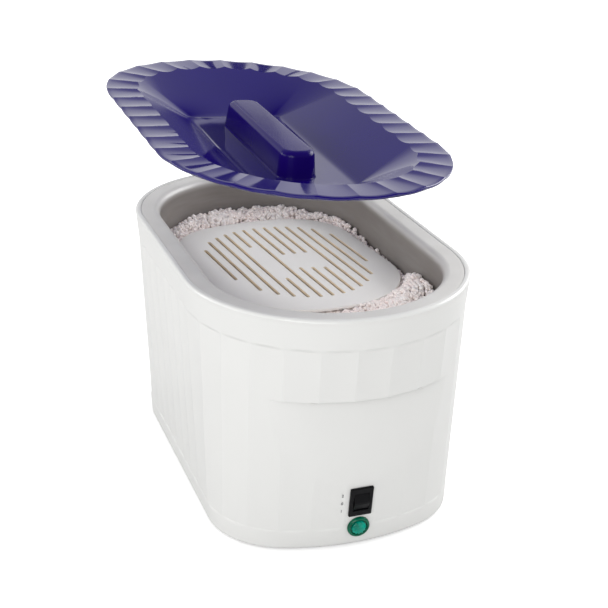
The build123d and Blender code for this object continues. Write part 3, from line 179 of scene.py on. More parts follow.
# Lamp, numbers
SWITCH_Z = 43.4
WINDOW_HALF_WIDTH = 7.9  # the opening that the switch's body passes through
WINDOW_HALF_HEIGHT = 11.2
WINDOW_CORNER = 0.4
WINDOW_REACH = (-12.0, 6.0)
WINDOW_SHARP = 60.0  # edges over this angle are hard
LAMP_Z = 18.8
LENS_RADIUS = 9.2
LENS_THICK = 2.6
LENS_RISE = 1.4
LENS_COLUMNS = 72
HEART_CUTS = 12
HEART_CUT = 0.035  # depth of a cut, as a share of the radius
HEART_WAVE = 0.22
NUMBER_HEIGHT = 2.6
NUMBER_X = -14.5
NUMBER_RAISE = 0.04
FONT_SHARE = 0.7  # a number's height as a share of the font's size
NUMBERS = (("2", 7.4), ("0", 0.0), ("1", -7.4))

# Camera, fitted to the photograph
EYE = (-335.66, -952.52, 564.59)
CAMERA_TURN = -20.001
CAMERA_FALL = 22.75
CAMERA_ROLL = 1.269
FOCAL_MM = 75.47
SENSOR_MM = 36.0

# Light, room and floor, in metres and watts
WORLD_LIGHT = 0.78  # strength of the room's light on the object
WORLD_FRONT = 0.04  # strength of its reflection from the camera's side
WORLD_BACK = 1.0  # from the back wall
WORLD_HIGH = 0.5  # and from over it
BACK_BAND = (-0.1, 0.5)  # a direction's Y between the room in front and the back wall
HIGH_BAND = (0.38, 0.52)  # and its Z between the back wall and what is over it
FLOOR_SIZE = 6.0
FLOOR_COLOR = (0.70, 0.70, 0.70)
FLOOR_GLOW = 0.47
FLOOR_FADE = (0.35, 1.1)  # the floor fades to plain white between these distances
CARD_LEFT = (0.47, 1.85)
CARD_RIGHT = (0.73, 1.9)
CARD_HEIGHTS = (0.80, 1.05)
CARD_COLOR = (0.06, 0.06, 0.07)
AIM = (0, 0, 0.16)
LAMPS = (  # name, place, width and height, power
    ("left", (-1.5, -0.1, 0.75), (0.7, 0.6), 3.0),
    ("right", (1.3, 0.3, 0.85), (1.1, 0.7), 13.5),
    ("front", (-0.75, -1.3, 0.85), (1.1, 0.6), 8.2),
    ("back", (-1.35, 0.7, 0.8), (0.6, 0.5), 4.0),
)


# Helpers for meshes

def add_object(name, data):
    """A new object in the scene."""
    made = bpy.data.objects.new(name, data)
    bpy.context.scene.collection.objects.link(made)
    return made


def shade_mesh(mesh, sharp):
    """Smooth shading with hard edges over an angle in degrees."""
    mesh.polygons.foreach_set("use_smooth", [True] * len(mesh.polygons))
    mesh.set_sharp_from_angle(angle=radians(sharp))


def ring_faces(rows, columns, tube):
    """Quads between the rings, and a face at each end unless it is a closed tube."""
    faces = []
    for r in range(rows if tube else rows - 1):
        low, high = r * columns, (r + 1) % rows * columns
        for c in range(columns):
            n = (c + 1) % columns
            faces.append((low + c, low + n, high + n, high + c))
    if not tube:
        last = (rows - 1) * columns
        faces += [tuple(reversed(range(columns))), tuple(range(last, last + columns))]
    return faces


def piece(name, rings, material, sharp=30.0, tube=False):
    """A mesh object from a stack of rings in millimetres."""
    mesh = bpy.data.meshes.new(name)
    points = (np.concatenate(rings) * MM).tolist()
    mesh.from_pydata(points, [], ring_faces(len(rings), len(rings[0]), tube))
    mesh.validate()
    work = bmesh.new()
    work.from_mesh(mesh)
    bmesh.ops.recalc_face_normals(work, faces=work.faces)
    work.to_mesh(mesh)
    work.free()
    shade_mesh(mesh, sharp)
    mesh.materials.append(LOOKS[material])
    return add_object(name, mesh)


def at_height(ring, z):
    """A plane ring lifted to a height, or to a height for each point."""
    ring = np.asarray(ring, float)
    return np.column_stack([ring[:, 0], ring[:, 1], np.broadcast_to(z, len(ring))])


def normals_of(ring):
    """Outward normals of a counter-clockwise closed ring."""
    along = np.roll(ring, -1, axis=0) - np.roll(ring, 1, axis=0)
    out = np.column_stack([along[:, 1], -along[:, 0]])
    return out / np.linalg.norm(out, axis=1)[:, None]


def stadium(radius, on_end, on_side):
    """A counter-clockwise stadium ring that starts at the middle of the front."""
    half = STRAIGHT / 2
    quarter = [(radius * sin(a), -half - radius * cos(a))
               for a in np.linspace(0, pi / 2, on_end, endpoint=False)]
    side = [(radius, y) for y in np.linspace(-half, 0, on_side, endpoint=False)]
    return mirrored(quarter + side + [(radius, 0.0)])


def mirrored(quarter):
    """A whole ring from the quarter between the front's middle and the right side's middle."""
    right_back = [(x, -y) for x, y in reversed(quarter[:-1])]
    left_back = [(-x, -y) for x, y in quarter[1:]]
    left_front = [(-x, y) for x, y in reversed(quarter[1:-1])]
    return np.array(quarter + right_back + left_back + left_front)


def rounded_rectangle(half_width, half_length, corner, n=10):
    """A counter-clockwise rectangle ring with round corners."""
    ring = []
    for side_x, side_y, start in ((1, -1, -90), (1, 1, 0), (-1, 1, 90), (-1, -1, 180)):
        for a in np.radians(np.linspace(start, start + 90, n)):
            x = side_x * (half_width - corner) + corner * cos(a)
            y = side_y * (half_length - corner) + corner * sin(a)
            ring.append((x, y))
    return np.array(ring)


def smooth_step(t):
    """Zero below 0 and one above 1, with a soft rise between."""
    t = np.clip(t, 0, 1)
    return t * t * (3 - 2 * t)


# Materials

LOOKS = {}  # the materials by name, which is the slot's name where they fill one


def new_material(name, color, roughness, metallic=0.0, coat=0.0, specular=0.5):
    """The shader of a material that is kept by its name."""
    material = bpy.data.materials.new(name)
    material.use_nodes = True
    LOOKS[name] = material
    shader = material.node_tree.nodes["Principled BSDF"]
    shader.inputs["Base Color"].default_value = (*color, 1)
    shader.inputs["Roughness"].default_value = roughness
    shader.inputs["Metallic"].default_value = metallic
    shader.inputs["Specular IOR Level"].default_value = specular
    shader.inputs["Coat Weight"].default_value = coat
    shader.inputs["Coat Roughness"].default_value = 0.05
    return shader


def new_node(near, kind):
    """A node of one kind in the same tree as another."""
    return near.id_data.nodes.new("ShaderNode" + kind)


def link(source, output, target, socket):
    """Join an output of one node to a socket of another."""
    source.id_data.links.new(source.outputs[output], target.inputs[socket])


def map_range(source, output, given=(0.0, 1.0), wanted=(0.0, 1.0), kind="LINEAR"):
    """An output of a node carried over from one range to another."""
    node = new_node(source, "MapRange")
    node.interpolation_type = kind
    for socket, number in zip(("From Min", "From Max", "To Min", "To Max"), (*given, *wanted)):
        node.inputs[socket].default_value = number
    link(source, output, node, "Value")
    return node


def add_noise(near, scale, detail, stretch=None):
    """A noise texture over the piece's own coordinates, in metres."""
    place, output = new_node(near, "TexCoord"), "Object"
    cloud = new_node(near, "TexNoise")
    cloud.inputs["Scale"].default_value = scale
    cloud.inputs["Detail"].default_value = detail
    if stretch:
        mapping = new_node(near, "Mapping")
        mapping.inputs["Scale"].default_value = stretch
        link(place, output, mapping, "Vector")
        place, output = mapping, "Vector"
    link(place, output, cloud, "Vector")
    return cloud


def shade_ramp(cloud, low, high):
    """A drift between two close colours, led by a noise texture."""
    ramp = new_node(cloud, "ValToRGB")
    for element, position, color in zip(ramp.color_ramp.elements, (0.3, 0.7), (low, high)):
        element.position = position
        element.color = (*color, 1)
    link(cloud, "Fac", ramp, "Fac")
    return ramp


def vary_color(shader, low, high, scale):
    """The base colour drifts between two close colours."""
    ramp = shade_ramp(add_noise(shader, scale, 2.0), low, high)
    link(ramp, "Color", shader, "Base Color")


def vary_roughness(shader, low, high, scale, stretch=None):
    """The gloss drifts between two values."""
    cloud = add_noise(shader, scale, 4.0, stretch)
    spread = map_range(cloud, "Fac", wanted=(low, high))
    link(spread, "Result", shader, "Roughness")


def add_bump(shader, scale, strength, distance, stretch=None):
    """A fine grain, its distance in metres."""
    cloud = add_noise(shader, scale, 3.0, stretch)
    bump = new_node(shader, "Bump")
    bump.inputs["Strength"].default_value = strength
    bump.inputs["Distance"].default_value = distance
    link(cloud, "Fac", bump, "Height")
    link(bump, "Normal", shader, "Normal")


def plastic(name, color, roughness, grain=900, depth=0.00003, drift=0.03, coat=0.0, specular=0.5):
    """Moulded plastic: a little drift in colour and gloss, and a fine grain."""
    shader = new_material(name, color, roughness, 0.0, coat, specular)
    vary_color(shader, tuple(c * (1 - drift) for c in color), color, 18)
    vary_roughness(shader, roughness * 0.85, roughness * 1.15, 40)
    add_bump(shader, grain, 0.25, depth)


def metal(name, color, roughness):
    """Sheet or machined metal."""
    shader = new_material(name, color, roughness, 1.0)
    vary_color(shader, tuple(c * 0.9 for c in color), color, 30)
    vary_roughness(shader, roughness * 0.8, roughness * 1.25, 120)
    add_bump(shader, 600, 0.2, 0.00002)


plastic("white_housing", (0.725, 0.725, 0.71), 0.30, grain=700, depth=0.00002, drift=0.012,
        coat=0.15)
plastic("lid_violet", (0.007, 0.001, 0.125), 0.08, grain=350, depth=0.000004, drift=0.10)
plastic("handle_violet", (0.008, 0.001, 0.110), 0.22, grain=500, depth=0.000006, drift=0.12,
        specular=0.17)
plastic("grid_plastic", (0.93, 0.915, 0.88), 0.42, grain=500, depth=0.00004, drift=0.025)
# Painted shade: the slots' walls are a darker warm tan for the shade and the glow of light through the wax
# down the slots
plastic("slot_wall_shade", (0.80, 0.67, 0.49), 0.5, drift=0.2)
plastic("black_plastic", (0.006, 0.006, 0.007), 0.36, depth=0.00001, drift=0.2, specular=0.12)
plastic("dark_rubber", (0.03, 0.03, 0.03), 0.65, grain=1500, depth=0.00006, drift=0.2)


def tank_material():
    """Satin metal with painted shade: dark on the walls inside the pan and lighter, as if lit, up to the
    flange.
    """
    shader = new_material("tank_metal", (0.6, 0.6, 0.6), 0.43, 0.15)
    vary_roughness(shader, 0.36, 0.5, 120, DRAWN)
    add_bump(shader, 500, 0.2, 0.00002, DRAWN)
    place = new_node(shader, "TexCoord")
    parts = new_node(shader, "SeparateXYZ")
    link(place, "Object", parts, "Vector")
    # mask of the painted shade: shaded walls below these heights, lit flange above
    height = map_range(parts, "Z", [z * MM for z in WALL_SHADE_Z], kind="SMOOTHSTEP")
    streaks = add_noise(shader, 30, 2.0, DRAWN)
    mix = new_node(shader, "Mix")
    mix.data_type = "RGBA"
    link(height, "Result", mix, "Factor")
    for socket, shades in ((6, PAINTED_WALL_SHADES), (7, LIT_FLANGE_SHADES)):
        ramp = shade_ramp(streaks, *shades)
        link(ramp, "Color", mix, socket)
    link(mix, 2, shader, "Base Color")


tank_material()
metal("zinc_steel", (0.62, 0.62, 0.63), 0.32)
metal("terminal_brass", (0.72, 0.55, 0.26), 0.3)
plastic("base_paint", (0.55, 0.55, 0.54), 0.5, grain=1800, depth=0.00008, drift=0.04)
plastic("heater_silicone", (0.42, 0.08, 0.05), 0.6, grain=700, drift=0.1)
plastic("insulation", (0.75, 0.72, 0.62), 0.9, grain=1400, depth=0.0004, drift=0.15)
plastic("block_nylon", (0.78, 0.76, 0.68), 0.45, drift=0.05)
plastic("lead_cover", (0.70, 0.70, 0.67), 0.5, drift=0.05)
plastic("earth_cover", (0.08, 0.30, 0.05), 0.5, drift=0.15)
plastic("number_ink", (0.035, 0.035, 0.05), 0.6, drift=0.2)


def wax_material():
    """Soft wax with a faint glow under its surface."""
    shader = new_material("wax", (0.95, 0.88, 0.875), 0.65, specular=0.2)
    vary_color(shader, (0.965, 0.86, 0.825), (0.99, 0.93, 0.90), 60)
    shader.inputs["Subsurface Weight"].default_value = 0.12
    shader.inputs["Subsurface Radius"].default_value = (0.004, 0.003, 0.003)
    shader.inputs["Subsurface Scale"].default_value = 1.0
    add_bump(shader, 900, 0.15, 0.0002)


def lens_material(name, low, high, roughness):
    """Clear green plastic, seen as a deep colour."""
    shader = new_material(name, high, roughness, specular=0.3)
    vary_color(shader, low, high, 160)
    add_bump(shader, 400, 0.15, 0.00005)


def glass_material():
    """Clear glass of the lamp's bulb."""
    shader = new_material("bulb_glass", (0.85, 0.85, 0.82), 0.05)
    shader.inputs["Transmission Weight"].default_value = 0.9
    vary_roughness(shader, 0.03, 0.08, 300)


wax_material()
lens_material("lens_green", (0.0, 0.07, 0.035), (0.0, 0.13, 0.07), 0.16)
# The heart's lighter green is painted glow, for the light that its clear cut plastic catches
lens_material("lens_heart", (0.0, 0.12, 0.08), (0.0, 0.34, 0.24), 0.14)
glass_material()


def dress_cad_nodes():
    """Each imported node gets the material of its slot."""
    for entry in frame["record"]["subparts"]:
        node = frame["nodes"][entry["node"]]
        node.data.materials.clear()
        node.data.materials.append(LOOKS[entry["material_slot"]])


# Housing shell

def outline_sizes(z):
    """Half length, half width, end radius and corner radius of the wall's outline at one height."""
    share = (RIM_Z - z) / (RIM_Z - BASE_Z)
    rim = (STRAIGHT / 2 + RIM_RADIUS, RIM_RADIUS, RIM_RADIUS, RIM_RADIUS)
    base = (rim[0] - BASE_END_TAPER, rim[1] - BASE_SIDE_TAPER, BASE_END_RADIUS, BASE_CORNER_RADIUS)
    return [a + (b - a) * share for a, b in zip(rim, base)]


def quarter_point(sizes, share):
    """A point of the quarter outline from the front's middle, 0, to the side's middle, 1."""
    half_length, half_width, end_radius, corner_radius = sizes
    centre_x = half_width - corner_radius
    turn = asin(centre_x / max(end_radius - corner_radius, 1e-6)) if centre_x > 1e-6 else pi / 2
    centre_y = half_length - end_radius + (end_radius - corner_radius) * cos(turn)
    end, corner = end_radius * turn, corner_radius * (pi / 2 - turn)
    along = share * (end + corner + centre_y)
    if along <= end:
        angle = along / end_radius
        return end_radius * sin(angle), -(half_length - end_radius + end_radius * cos(angle))
    if along <= end + corner:
        angle = turn + (along - end) / corner_radius
        return centre_x + corner_radius * sin(angle), -(centre_y + corner_radius * cos(angle))
    return half_width, -(centre_y - (along - end - corner))


def rim_point(radius, share):
    """The same quarter on a stadium outline."""
    return quarter_point((STRAIGHT / 2 + radius, radius, radius, radius), share)


def front_matrix(z):
    """From the flat of the front's middle facet at one height, X across and Z outwards."""
    share = FACET / 2 / (COLLAR_RADIUS * pi / 2 + STRAIGHT / 2)
    high = rim_point(COLLAR_RADIUS, share)[1]
    low = quarter_point(outline_sizes(BAND_Z), share)[1]
    y = low + (high - low) * (z - BAND_Z) / (COLLAR_Z - BAND_Z)
    lean = atan2(low - high, COLLAR_Z - BAND_Z)
    out = Vector((0, -cos(lean), -sin(lean)))
    across = Vector((1, 0, 0))
    up = out.cross(across)
    return Matrix.Translation((0, y * MM, z * MM)) @ Matrix((across, up, out)).transposed().to_4x4()


def facet_columns(per_facet=12):
    """Shares of a quarter outline for each column, and how far it is from the ridges, 0 to 1."""
    end = COLLAR_RADIUS * pi / 2
    total = end + STRAIGHT / 2
    flute = STRAIGHT / SIDE_FLUTES
    ridges = [(k + 0.5) * FACET for k in range((END_FACETS + 1) // 2)]
    ridges += [end + flute * k for k in range(1, SIDE_FLUTES // 2 + 1)]
    spans = [(-ridges[0], ridges[0])] + list(zip(ridges, ridges[1:]))
    shares, dips = [], []
    for low, high in spans:
        for t in np.arange(per_facet) / per_facet:
            along = low + (high - low) * t
            if along > -1e-9:
                shares.append(along / total)
                dips.append(4 * t * (1 - t) * (SIDE_DEEPER if low >= end - 1e-6 else 1))
    return np.array(shares + [1.0]), np.array(dips + [0.0])


def panel_y(x, z, skin):
    """The front panel's surface, or a surface behind it by skin."""
    narrower = PANEL_SLOPE * (LEDGE_Z - z)
    across = PANEL_HALF_WIDTH - skin - narrower
    along = PANEL_HALF_DEPTH - skin - narrower
    centre = PANEL_DEPTH + PANEL_HALF_DEPTH - outline_sizes(LEDGE_Z)[0]
    inside = np.clip(1 - (x / across) ** 2, 0, 1)
    return centre - along * np.sqrt(inside)


def pressed_in(ring, z, skin=0.0, soft=0.5):
    """A ring of the wall under the ledge, moved back to the panel where it stands in front of it."""
    x, y = ring[:, 0], ring[:, 1]
    gap = y - panel_y(x, z, skin)
    back = np.where(gap > 0, y, y - gap)
    blended = np.where(np.abs(gap) < soft, y - gap + (gap + soft) ** 2 / (4 * soft), back)
    on_front = (np.abs(x) < PANEL_REACH) & (y < 0)
    return np.column_stack([x, np.where(on_front, blended, y)])


def rim_ring(shares, radius):
    """A whole ring on a stadium outline."""
    return mirrored([rim_point(radius, s) for s in shares])


def smooth_ring(shares, z, inset=0.0):
    """A whole ring on the wall's outline at one height, moved in."""
    ring = mirrored([quarter_point(outline_sizes(z), s) for s in shares])
    return ring - normals_of(ring) * inset


def wall_ring(shares, dips, z):
    """A whole ring of the wall between band and collar, with its facets and flutes."""
    high = rim_ring(shares, COLLAR_RADIUS)
    low = smooth_ring(shares, BAND_Z)
    down = (COLLAR_Z - z) / (COLLAR_Z - BAND_Z)
    ring = high + (low - high) * down
    depth = FLUTE_TOP + (FLUTE_FOOT - FLUTE_TOP) * down
    depth *= smooth_step((COLLAR_Z - z) / 3.2) * smooth_step((z - BAND_Z) / 1.2)
    return ring - normals_of(ring) * (depth * dips)[:, None]


def foot_rings(shares):
    """The round edge at the table and the smooth band over it."""
    rings = []
    for angle in np.linspace(0, pi / 2, 6):
        z = BASE_Z + BASE_EDGE * (1 - cos(angle))
        rings.append(at_height(smooth_ring(shares, z, BASE_EDGE * (1 - sin(angle))), z))
    for z in np.linspace(BASE_Z + BASE_EDGE + 2, BAND_Z, 6):
        rings.append(at_height(smooth_ring(shares, z), z))
    return rings


def wall_rings(shares, dips):
    """The wall with the set-back panel, the ledge and the part over it."""
    heights = [*np.arange(BAND_Z + 0.4, BAND_Z + 1.6, 0.4), *np.arange(BAND_Z + 2, LEDGE_Z - 1.4, 1.5),
               LEDGE_Z - 0.9, LEDGE_Z - 0.45]
    rings = [at_height(pressed_in(wall_ring(shares, dips, z), z), z) for z in heights]
    edge = wall_ring(shares, dips, LEDGE_Z)
    under = pressed_in(edge, LEDGE_Z, LEDGE_EDGE - PANEL_DEPTH)
    rings.append(at_height(pressed_in(edge, LEDGE_Z, -0.5), LEDGE_Z - 0.08))
    rings.append(at_height(under, LEDGE_Z + 0.02))
    rings.append(at_height(np.where(under[:, 1:] > edge[:, 1:], edge * 0.996, edge), LEDGE_Z + 0.25))
    heights = [LEDGE_Z + 0.7, *np.arange(LEDGE_Z + 1.6, COLLAR_Z - 4, 2.5),
               *np.arange(COLLAR_Z - 3.2, COLLAR_Z + 0.1, 0.4)]
    return rings + [at_height(wall_ring(shares, dips, z), z) for z in heights]


def collar_rings(shares):
    """The smooth collar and its round lip."""
    draft = COLLAR_TAPER / (RIM_Z - COLLAR_Z)
    rings = []
    for z in np.linspace(COLLAR_Z + 0.8, RIM_Z - LIP_ROUND, 8):
        rings.append(at_height(rim_ring(shares, COLLAR_RADIUS + draft * (z - COLLAR_Z)), z))
    for angle in np.linspace(0.2, pi / 2, 7):
        radius = RIM_RADIUS - LIP_ROUND * (1 - cos(angle))
        rings.append(at_height(rim_ring(shares, radius), RIM_Z - LIP_ROUND * (1 - sin(angle))))
    return rings


def inside_rings(shares):
    """The seat of the flange, the shelf under it and the wall's inside down to the base."""
    seat = FLANGE_RADIUS + RABBET_GAP
    under_shelf = SHELF_Z - SHELF_THICK
    profile = [(seat + 0.7, RIM_Z), (seat + 0.2, RIM_Z - 0.2), (seat, RIM_Z - 0.7), (seat, SHELF_Z),
               (SHELF_RADIUS, SHELF_Z), (SHELF_RADIUS, under_shelf),
               (COLLAR_RADIUS - WALL + 1, under_shelf), (COLLAR_RADIUS - WALL, COLLAR_Z)]
    rings = [at_height(rim_ring(shares, radius), z) for radius, z in profile]
    inset = WALL + FLUTE_TOP
    for z in (COLLAR_Z - 1, LEDGE_Z + WALL + 0.1):
        rings.append(at_height(smooth_ring(shares, z, inset), z))
    for z in (LEDGE_Z + WALL, 120, 100, 80, 60, 40, 20, 6):
        rings.append(at_height(pressed_in(smooth_ring(shares, z, inset), z, WALL), z))
    return rings + [at_height(smooth_ring(shares, BASE_Z, inset), BASE_Z)]


def housing():
    """The white shell as one closed skin."""
    shares, quarter_dips = facet_columns()
    dips = np.abs(mirrored([(d, 1.0) for d in quarter_dips])[:, 0])
    rings = foot_rings(shares) + wall_rings(shares, dips) + collar_rings(shares) + inside_rings(shares)
    shell = piece("housing_shell", rings, "white_housing", sharp=38, tube=True)
    crease_columns(shell.data, len(dips), np.flatnonzero(dips < 1e-9), BAND_Z + 1.2, COLLAR_Z - 1.2)
    cut_window(shell)
    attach(shell, "housing")
    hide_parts("housing")


def cut_window(shell):
    """The opening in the front wall that the switch's body passes through."""
    outline = rounded_rectangle(WINDOW_HALF_WIDTH, WINDOW_HALF_HEIGHT, WINDOW_CORNER, 3)
    cutter = piece("window_cutter", [at_height(outline, z) for z in WINDOW_REACH], "white_housing")
    cutter.data.transform(front_matrix(SWITCH_Z))
    cut = shell.modifiers.new("window", "BOOLEAN")
    cut.operation = "DIFFERENCE"
    cut.solver = "EXACT"
    cut.object = cutter
    seen = shell.evaluated_get(bpy.context.evaluated_depsgraph_get())
    shell.data = bpy.data.meshes.new_from_object(seen)
    shell.modifiers.clear()
    bpy.data.objects.remove(cutter)
    work = bmesh.new()
    work.from_mesh(shell.data)
    for edge in work.edges:
        if len(edge.link_faces) == 2 and edge.calc_face_angle() > radians(WINDOW_SHARP):
            edge.smooth = False
    work.to_mesh(shell.data)
    work.free()


def crease_columns(mesh, columns, ridges, low, high):
    """Hard edges up the given columns of a ring mesh, between two heights."""
    ridges = set(ridges.tolist())
    for edge in mesh.edges:
        a, b = edge.vertices
        if a % columns == b % columns and a % columns in ridges:
            heights = [mesh.vertices[v].co.z / MM for v in (a, b)]
            if min(heights) > low and max(heights) < high:
                edge.use_edge_sharp = True


# Tank pan

def tank_radius(z):
    """Inner radius of the pan's tapered wall at one height."""
    share = (z - TANK_FLOOR_Z) / (FLANGE_Z - TANK_FLOOR_Z)
    return TANK_FLOOR_RADIUS + (TANK_TOP_RADIUS - TANK_FLOOR_RADIUS) * share


def tank_profile(grow, flange_z, floor_z, corner, roll):
    """Radius and height along the pan's inner or outer surface, from flange to floor."""
    neck_z = flange_z - roll
    neck = tank_radius(neck_z) + grow
    foot_z = floor_z + corner
    centre = tank_radius(foot_z) + grow - corner
    profile = [(neck + roll - roll * sin(a), neck_z + roll * cos(a))
               for a in np.linspace(0, pi / 2, 12)]
    profile += [(tank_radius(z) + grow, z) for z in np.linspace(neck_z - 6, foot_z, 12)]
    profile += [(centre + corner * cos(a), foot_z - corner * sin(a))
                for a in np.linspace(0.2, pi / 2, 8)]
    return profile + [(centre * 0.5, floor_z), (2.0, floor_z)]


def tank():
    """Drawn pan with a rolled flange."""
    inner = tank_profile(0, FLANGE_Z, TANK_FLOOR_Z, TANK_CORNER, ROLL_RADIUS)
    outer = tank_profile(SHEET, FLANGE_Z - SHEET, TANK_FLOOR_Z - SHEET, TANK_CORNER + SHEET,
                         ROLL_RADIUS - SHEET)
    r, z = FLANGE_RADIUS, FLANGE_Z
    flange = [(r - 0.3, z - SHEET), (r, z - SHEET + 0.3), (r, z - 0.4), (r - 0.1, z - 0.1), (r - 0.5, z),
              (r - 3, z), (r - 6, z)]
    rings = [at_height(stadium(r, 60, 30), z) for r, z in outer[::-1] + flange + inner]
    pan = piece("tank_pan", rings, "tank_metal", sharp=35)
    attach(pan, "housing")
    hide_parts("tank")


# Wax crumbs

def beyond_grid(x, y):
    """How far a place is outside the grid's edge. Negative under the grid."""
    turn = radians(GRID_TURN)
    dx, dy = x - GRID_CENTRE[0], y - GRID_CENTRE[1]
    u, v = dx * cos(turn) + dy * sin(turn), -dx * sin(turn) + dy * cos(turn)
    corner = (GRID_FAR if v > 0 else GRID_NEAR)[0]
    across, along = abs(u) - (GRID_HALF_WIDTH - corner), abs(v) - (GRID_HALF_LENGTH - corner)
    if across <= 0 or along <= 0:
        return max(across, along) - corner
    return hypot(across, along) - corner


def crumb_shapes(rng):
    """A few irregular lumps of unit size."""
    work = bmesh.new()
    bmesh.ops.create_icosphere(work, subdivisions=1, radius=0.5)
    base = np.array([v.co for v in work.verts])
    faces = np.array([[v.index for v in f.verts] for f in work.faces])
    work.free()
    shapes = []
    for _ in range(CRUMB_SHAPES):
        bumps = np.ones(len(base))
        for _ in range(5):
            way = rng.normal(size=3)
            way /= np.linalg.norm(way)
            bumps += 0.34 * np.clip(base @ way * 2 - 0.35, 0, 1) * rng.uniform(-0.6, 1.0)
        shapes.append(base * bumps[:, None] * rng.uniform(0.8, 1.2, 3))
    return shapes, faces


def crumb_places(rng, radius):
    """Place, size and distance from the wall for each place of a loose lattice."""
    reach = STRAIGHT / 2 + radius
    for y in np.arange(-reach, reach, BEAD_PITCH):
        for x in np.arange(-radius, radius, BEAD_PITCH):
            px = x + rng.uniform(-BEAD_STRAY, BEAD_STRAY)
            py = y + rng.uniform(-BEAD_STRAY, BEAD_STRAY)
            size = BEAD * rng.uniform(*BEAD_SIZES)
            from_wall = radius - hypot(px, max(abs(py) - STRAIGHT / 2, 0))
            if from_wall >= size * 0.5:
                yield px, py, size, from_wall


def crumb_top(rng, x, y, out, from_wall):
    """Height of a crumb's top: on the heap, under the seated lid and below the grid."""
    top = WAX_Z + min(heap(x, y, out, from_wall) + rng.uniform(-1.6, 0.5), room_under_lid(x, y))
    if out < TUCKED:
        top = min(top, WAX_Z - 0.1 - rng.uniform(0, 1.2))
    return top


def crumb(rng, shapes, x, y, size, top, layer):
    """Points of one turned crumb, in the top layer or in one under it."""
    z = top - size * 0.5 - layer * rng.uniform(*LAYER_DROPS)
    across, along, up = shapes[rng.integers(len(shapes))].T
    angle = rng.uniform(0, 2 * pi)
    c, s = cos(angle), sin(angle)
    turned = np.column_stack([across * c - along * s, across * s + along * c, up])
    shift = rng.uniform(-LAYER_STRAY, LAYER_STRAY, 2) * layer
    return turned * size + (x + shift[0], y + shift[1], z)


def wax():
    """A heap of crumbs in the tank, pressed flat under the grid and banked against the walls."""
    rng = np.random.default_rng(CRUMB_SEED)
    shapes, crumb_faces = crumb_shapes(rng)
    radius = tank_radius(WAX_Z) - WALL_GAP
    points = []
    for x, y, size, from_wall in crumb_places(rng, radius):
        out = beyond_grid(x, y)
        for layer in range(1 if out < ONE_LAYER else LAYERS):
            if layer and rng.random() < LAYER_HOLES:
                continue
            top = crumb_top(rng, x, y, out, from_wall)
            points.append(crumb(rng, shapes, x, y, size, top, layer))
    faces = [crumb_faces + k * len(shapes[0]) for k in range(len(points))]
    heap_piece = piece_from_arrays("wax_crumbs", np.concatenate(points), np.concatenate(faces), "wax")
    low = TANK_FLOOR_Z + 0.3
    profile = [(tank_radius(low) - TANK_CORNER, low), (tank_radius(low + 6) - 6, low + 5),
               (tank_radius(low + 18) - 0.3, low + 18), (radius - 0.2, WAX_Z - 6),
               (radius - 2.5, WAX_Z - 3.5)]
    rings = [at_height(stadium(r, 40, 20), z) for r, z in profile]
    bed = piece("wax_bed", rings, "wax")
    for made in (bed, heap_piece):
        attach(made, "housing")
    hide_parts("wax_beads")


def room_under_lid(x, y):
    """How far the wax may stand over its mean level, clear of the seated lid's dish."""
    aside = max(abs(x) - DISH_HALF_WIDTH - 3, 0)
    along = max(abs(y) - DISH_HALF_LENGTH - 3, 0)
    return min(UNDER_DISH + 0.4 * hypot(aside, along), HEAP_TOP)


def heap(x, y, out, from_wall):
    """How far the wax stands over its mean level: banked up at the back and at the near right."""
    back = smooth_step((y + 40) / 190)
    near_right = smooth_step((-y - 8) / 50) * smooth_step((x + 5) / 50)
    bank = (BANK + BACK_BANK * back + NEAR_BANK * near_right) * smooth_step(out / 12)
    swell = 1.2 * sin(x * 0.085 + 1.0) * sin(y * 0.07)
    lumps = 1.5 * noise.noise(Vector((x, y, 3.0)) * 0.11) + 1.3 * noise.noise(Vector((x, y, 9.0)) * 0.24)
    edge = 0.8 * smooth_step(1 - from_wall / 6)
    return bank + (swell + 1.6 * lumps) * smooth_step(out / 8) - edge


def piece_from_arrays(name, points, faces, material):
    """A smooth triangle mesh from big arrays."""
    mesh = bpy.data.meshes.new(name)
    mesh.vertices.add(len(points))
    mesh.vertices.foreach_set("co", (points * MM).ravel())
    mesh.loops.add(faces.size)
    mesh.loops.foreach_set("vertex_index", faces.ravel())
    mesh.polygons.add(len(faces))
    mesh.polygons.foreach_set("loop_start", np.arange(len(faces)) * 3)
    mesh.polygons.foreach_set("use_smooth", np.ones(len(faces), bool))
    mesh.update(calc_edges=True)
    mesh.validate()
    mesh.materials.append(LOOKS[material])
    return add_object(name, mesh)


# Grid plate

def egg_outline(n=26):
    """The grid's outline in its own axes, counter-clockwise."""
    ring = []
    for way, (corner, end) in ((1, GRID_FAR), (-1, GRID_NEAR)):
        centre_x = GRID_HALF_WIDTH - corner
        turn = asin(centre_x / (end - corner))
        top = GRID_HALF_LENGTH - end
        centre_y = top + (end - corner) * cos(turn)
        right = [(centre_x + corner * sin(a), centre_y + corner * cos(a))
                 for a in np.linspace(pi / 2, turn, n)]
        middle = [(end * sin(a), top + end * cos(a)) for a in np.linspace(turn, -turn, n)[1:-1]]
        left = [(-x, y) for x, y in reversed(right)]
        ring += [(way * x, way * y) for x, y in right + middle + left]
    return np.array(ring)


def slot_spans():
    """X and the two ends of each slot, in the grid's own axes."""
    spans = []
    for k in range(SLOTS):
        x = (k - (SLOTS - 1) / 2) * SLOT_PITCH
        inside = sqrt(1 - (x / SLOT_SPREAD) ** 2)
        far = SLOT_FAR[0] - SLOT_FAR[1] * (1 - inside)
        near = -SLOT_NEAR[0] + SLOT_NEAR[1] * (1 - inside)
        stretch = PLAIN_STRETCHES.get(k)
        ends = [(near, far)] if stretch is None else [(near, stretch[0]), (stretch[1], far)]
        spans += [(x + SLOT_SHIFT, low, high) for low, high in ends]
    return spans


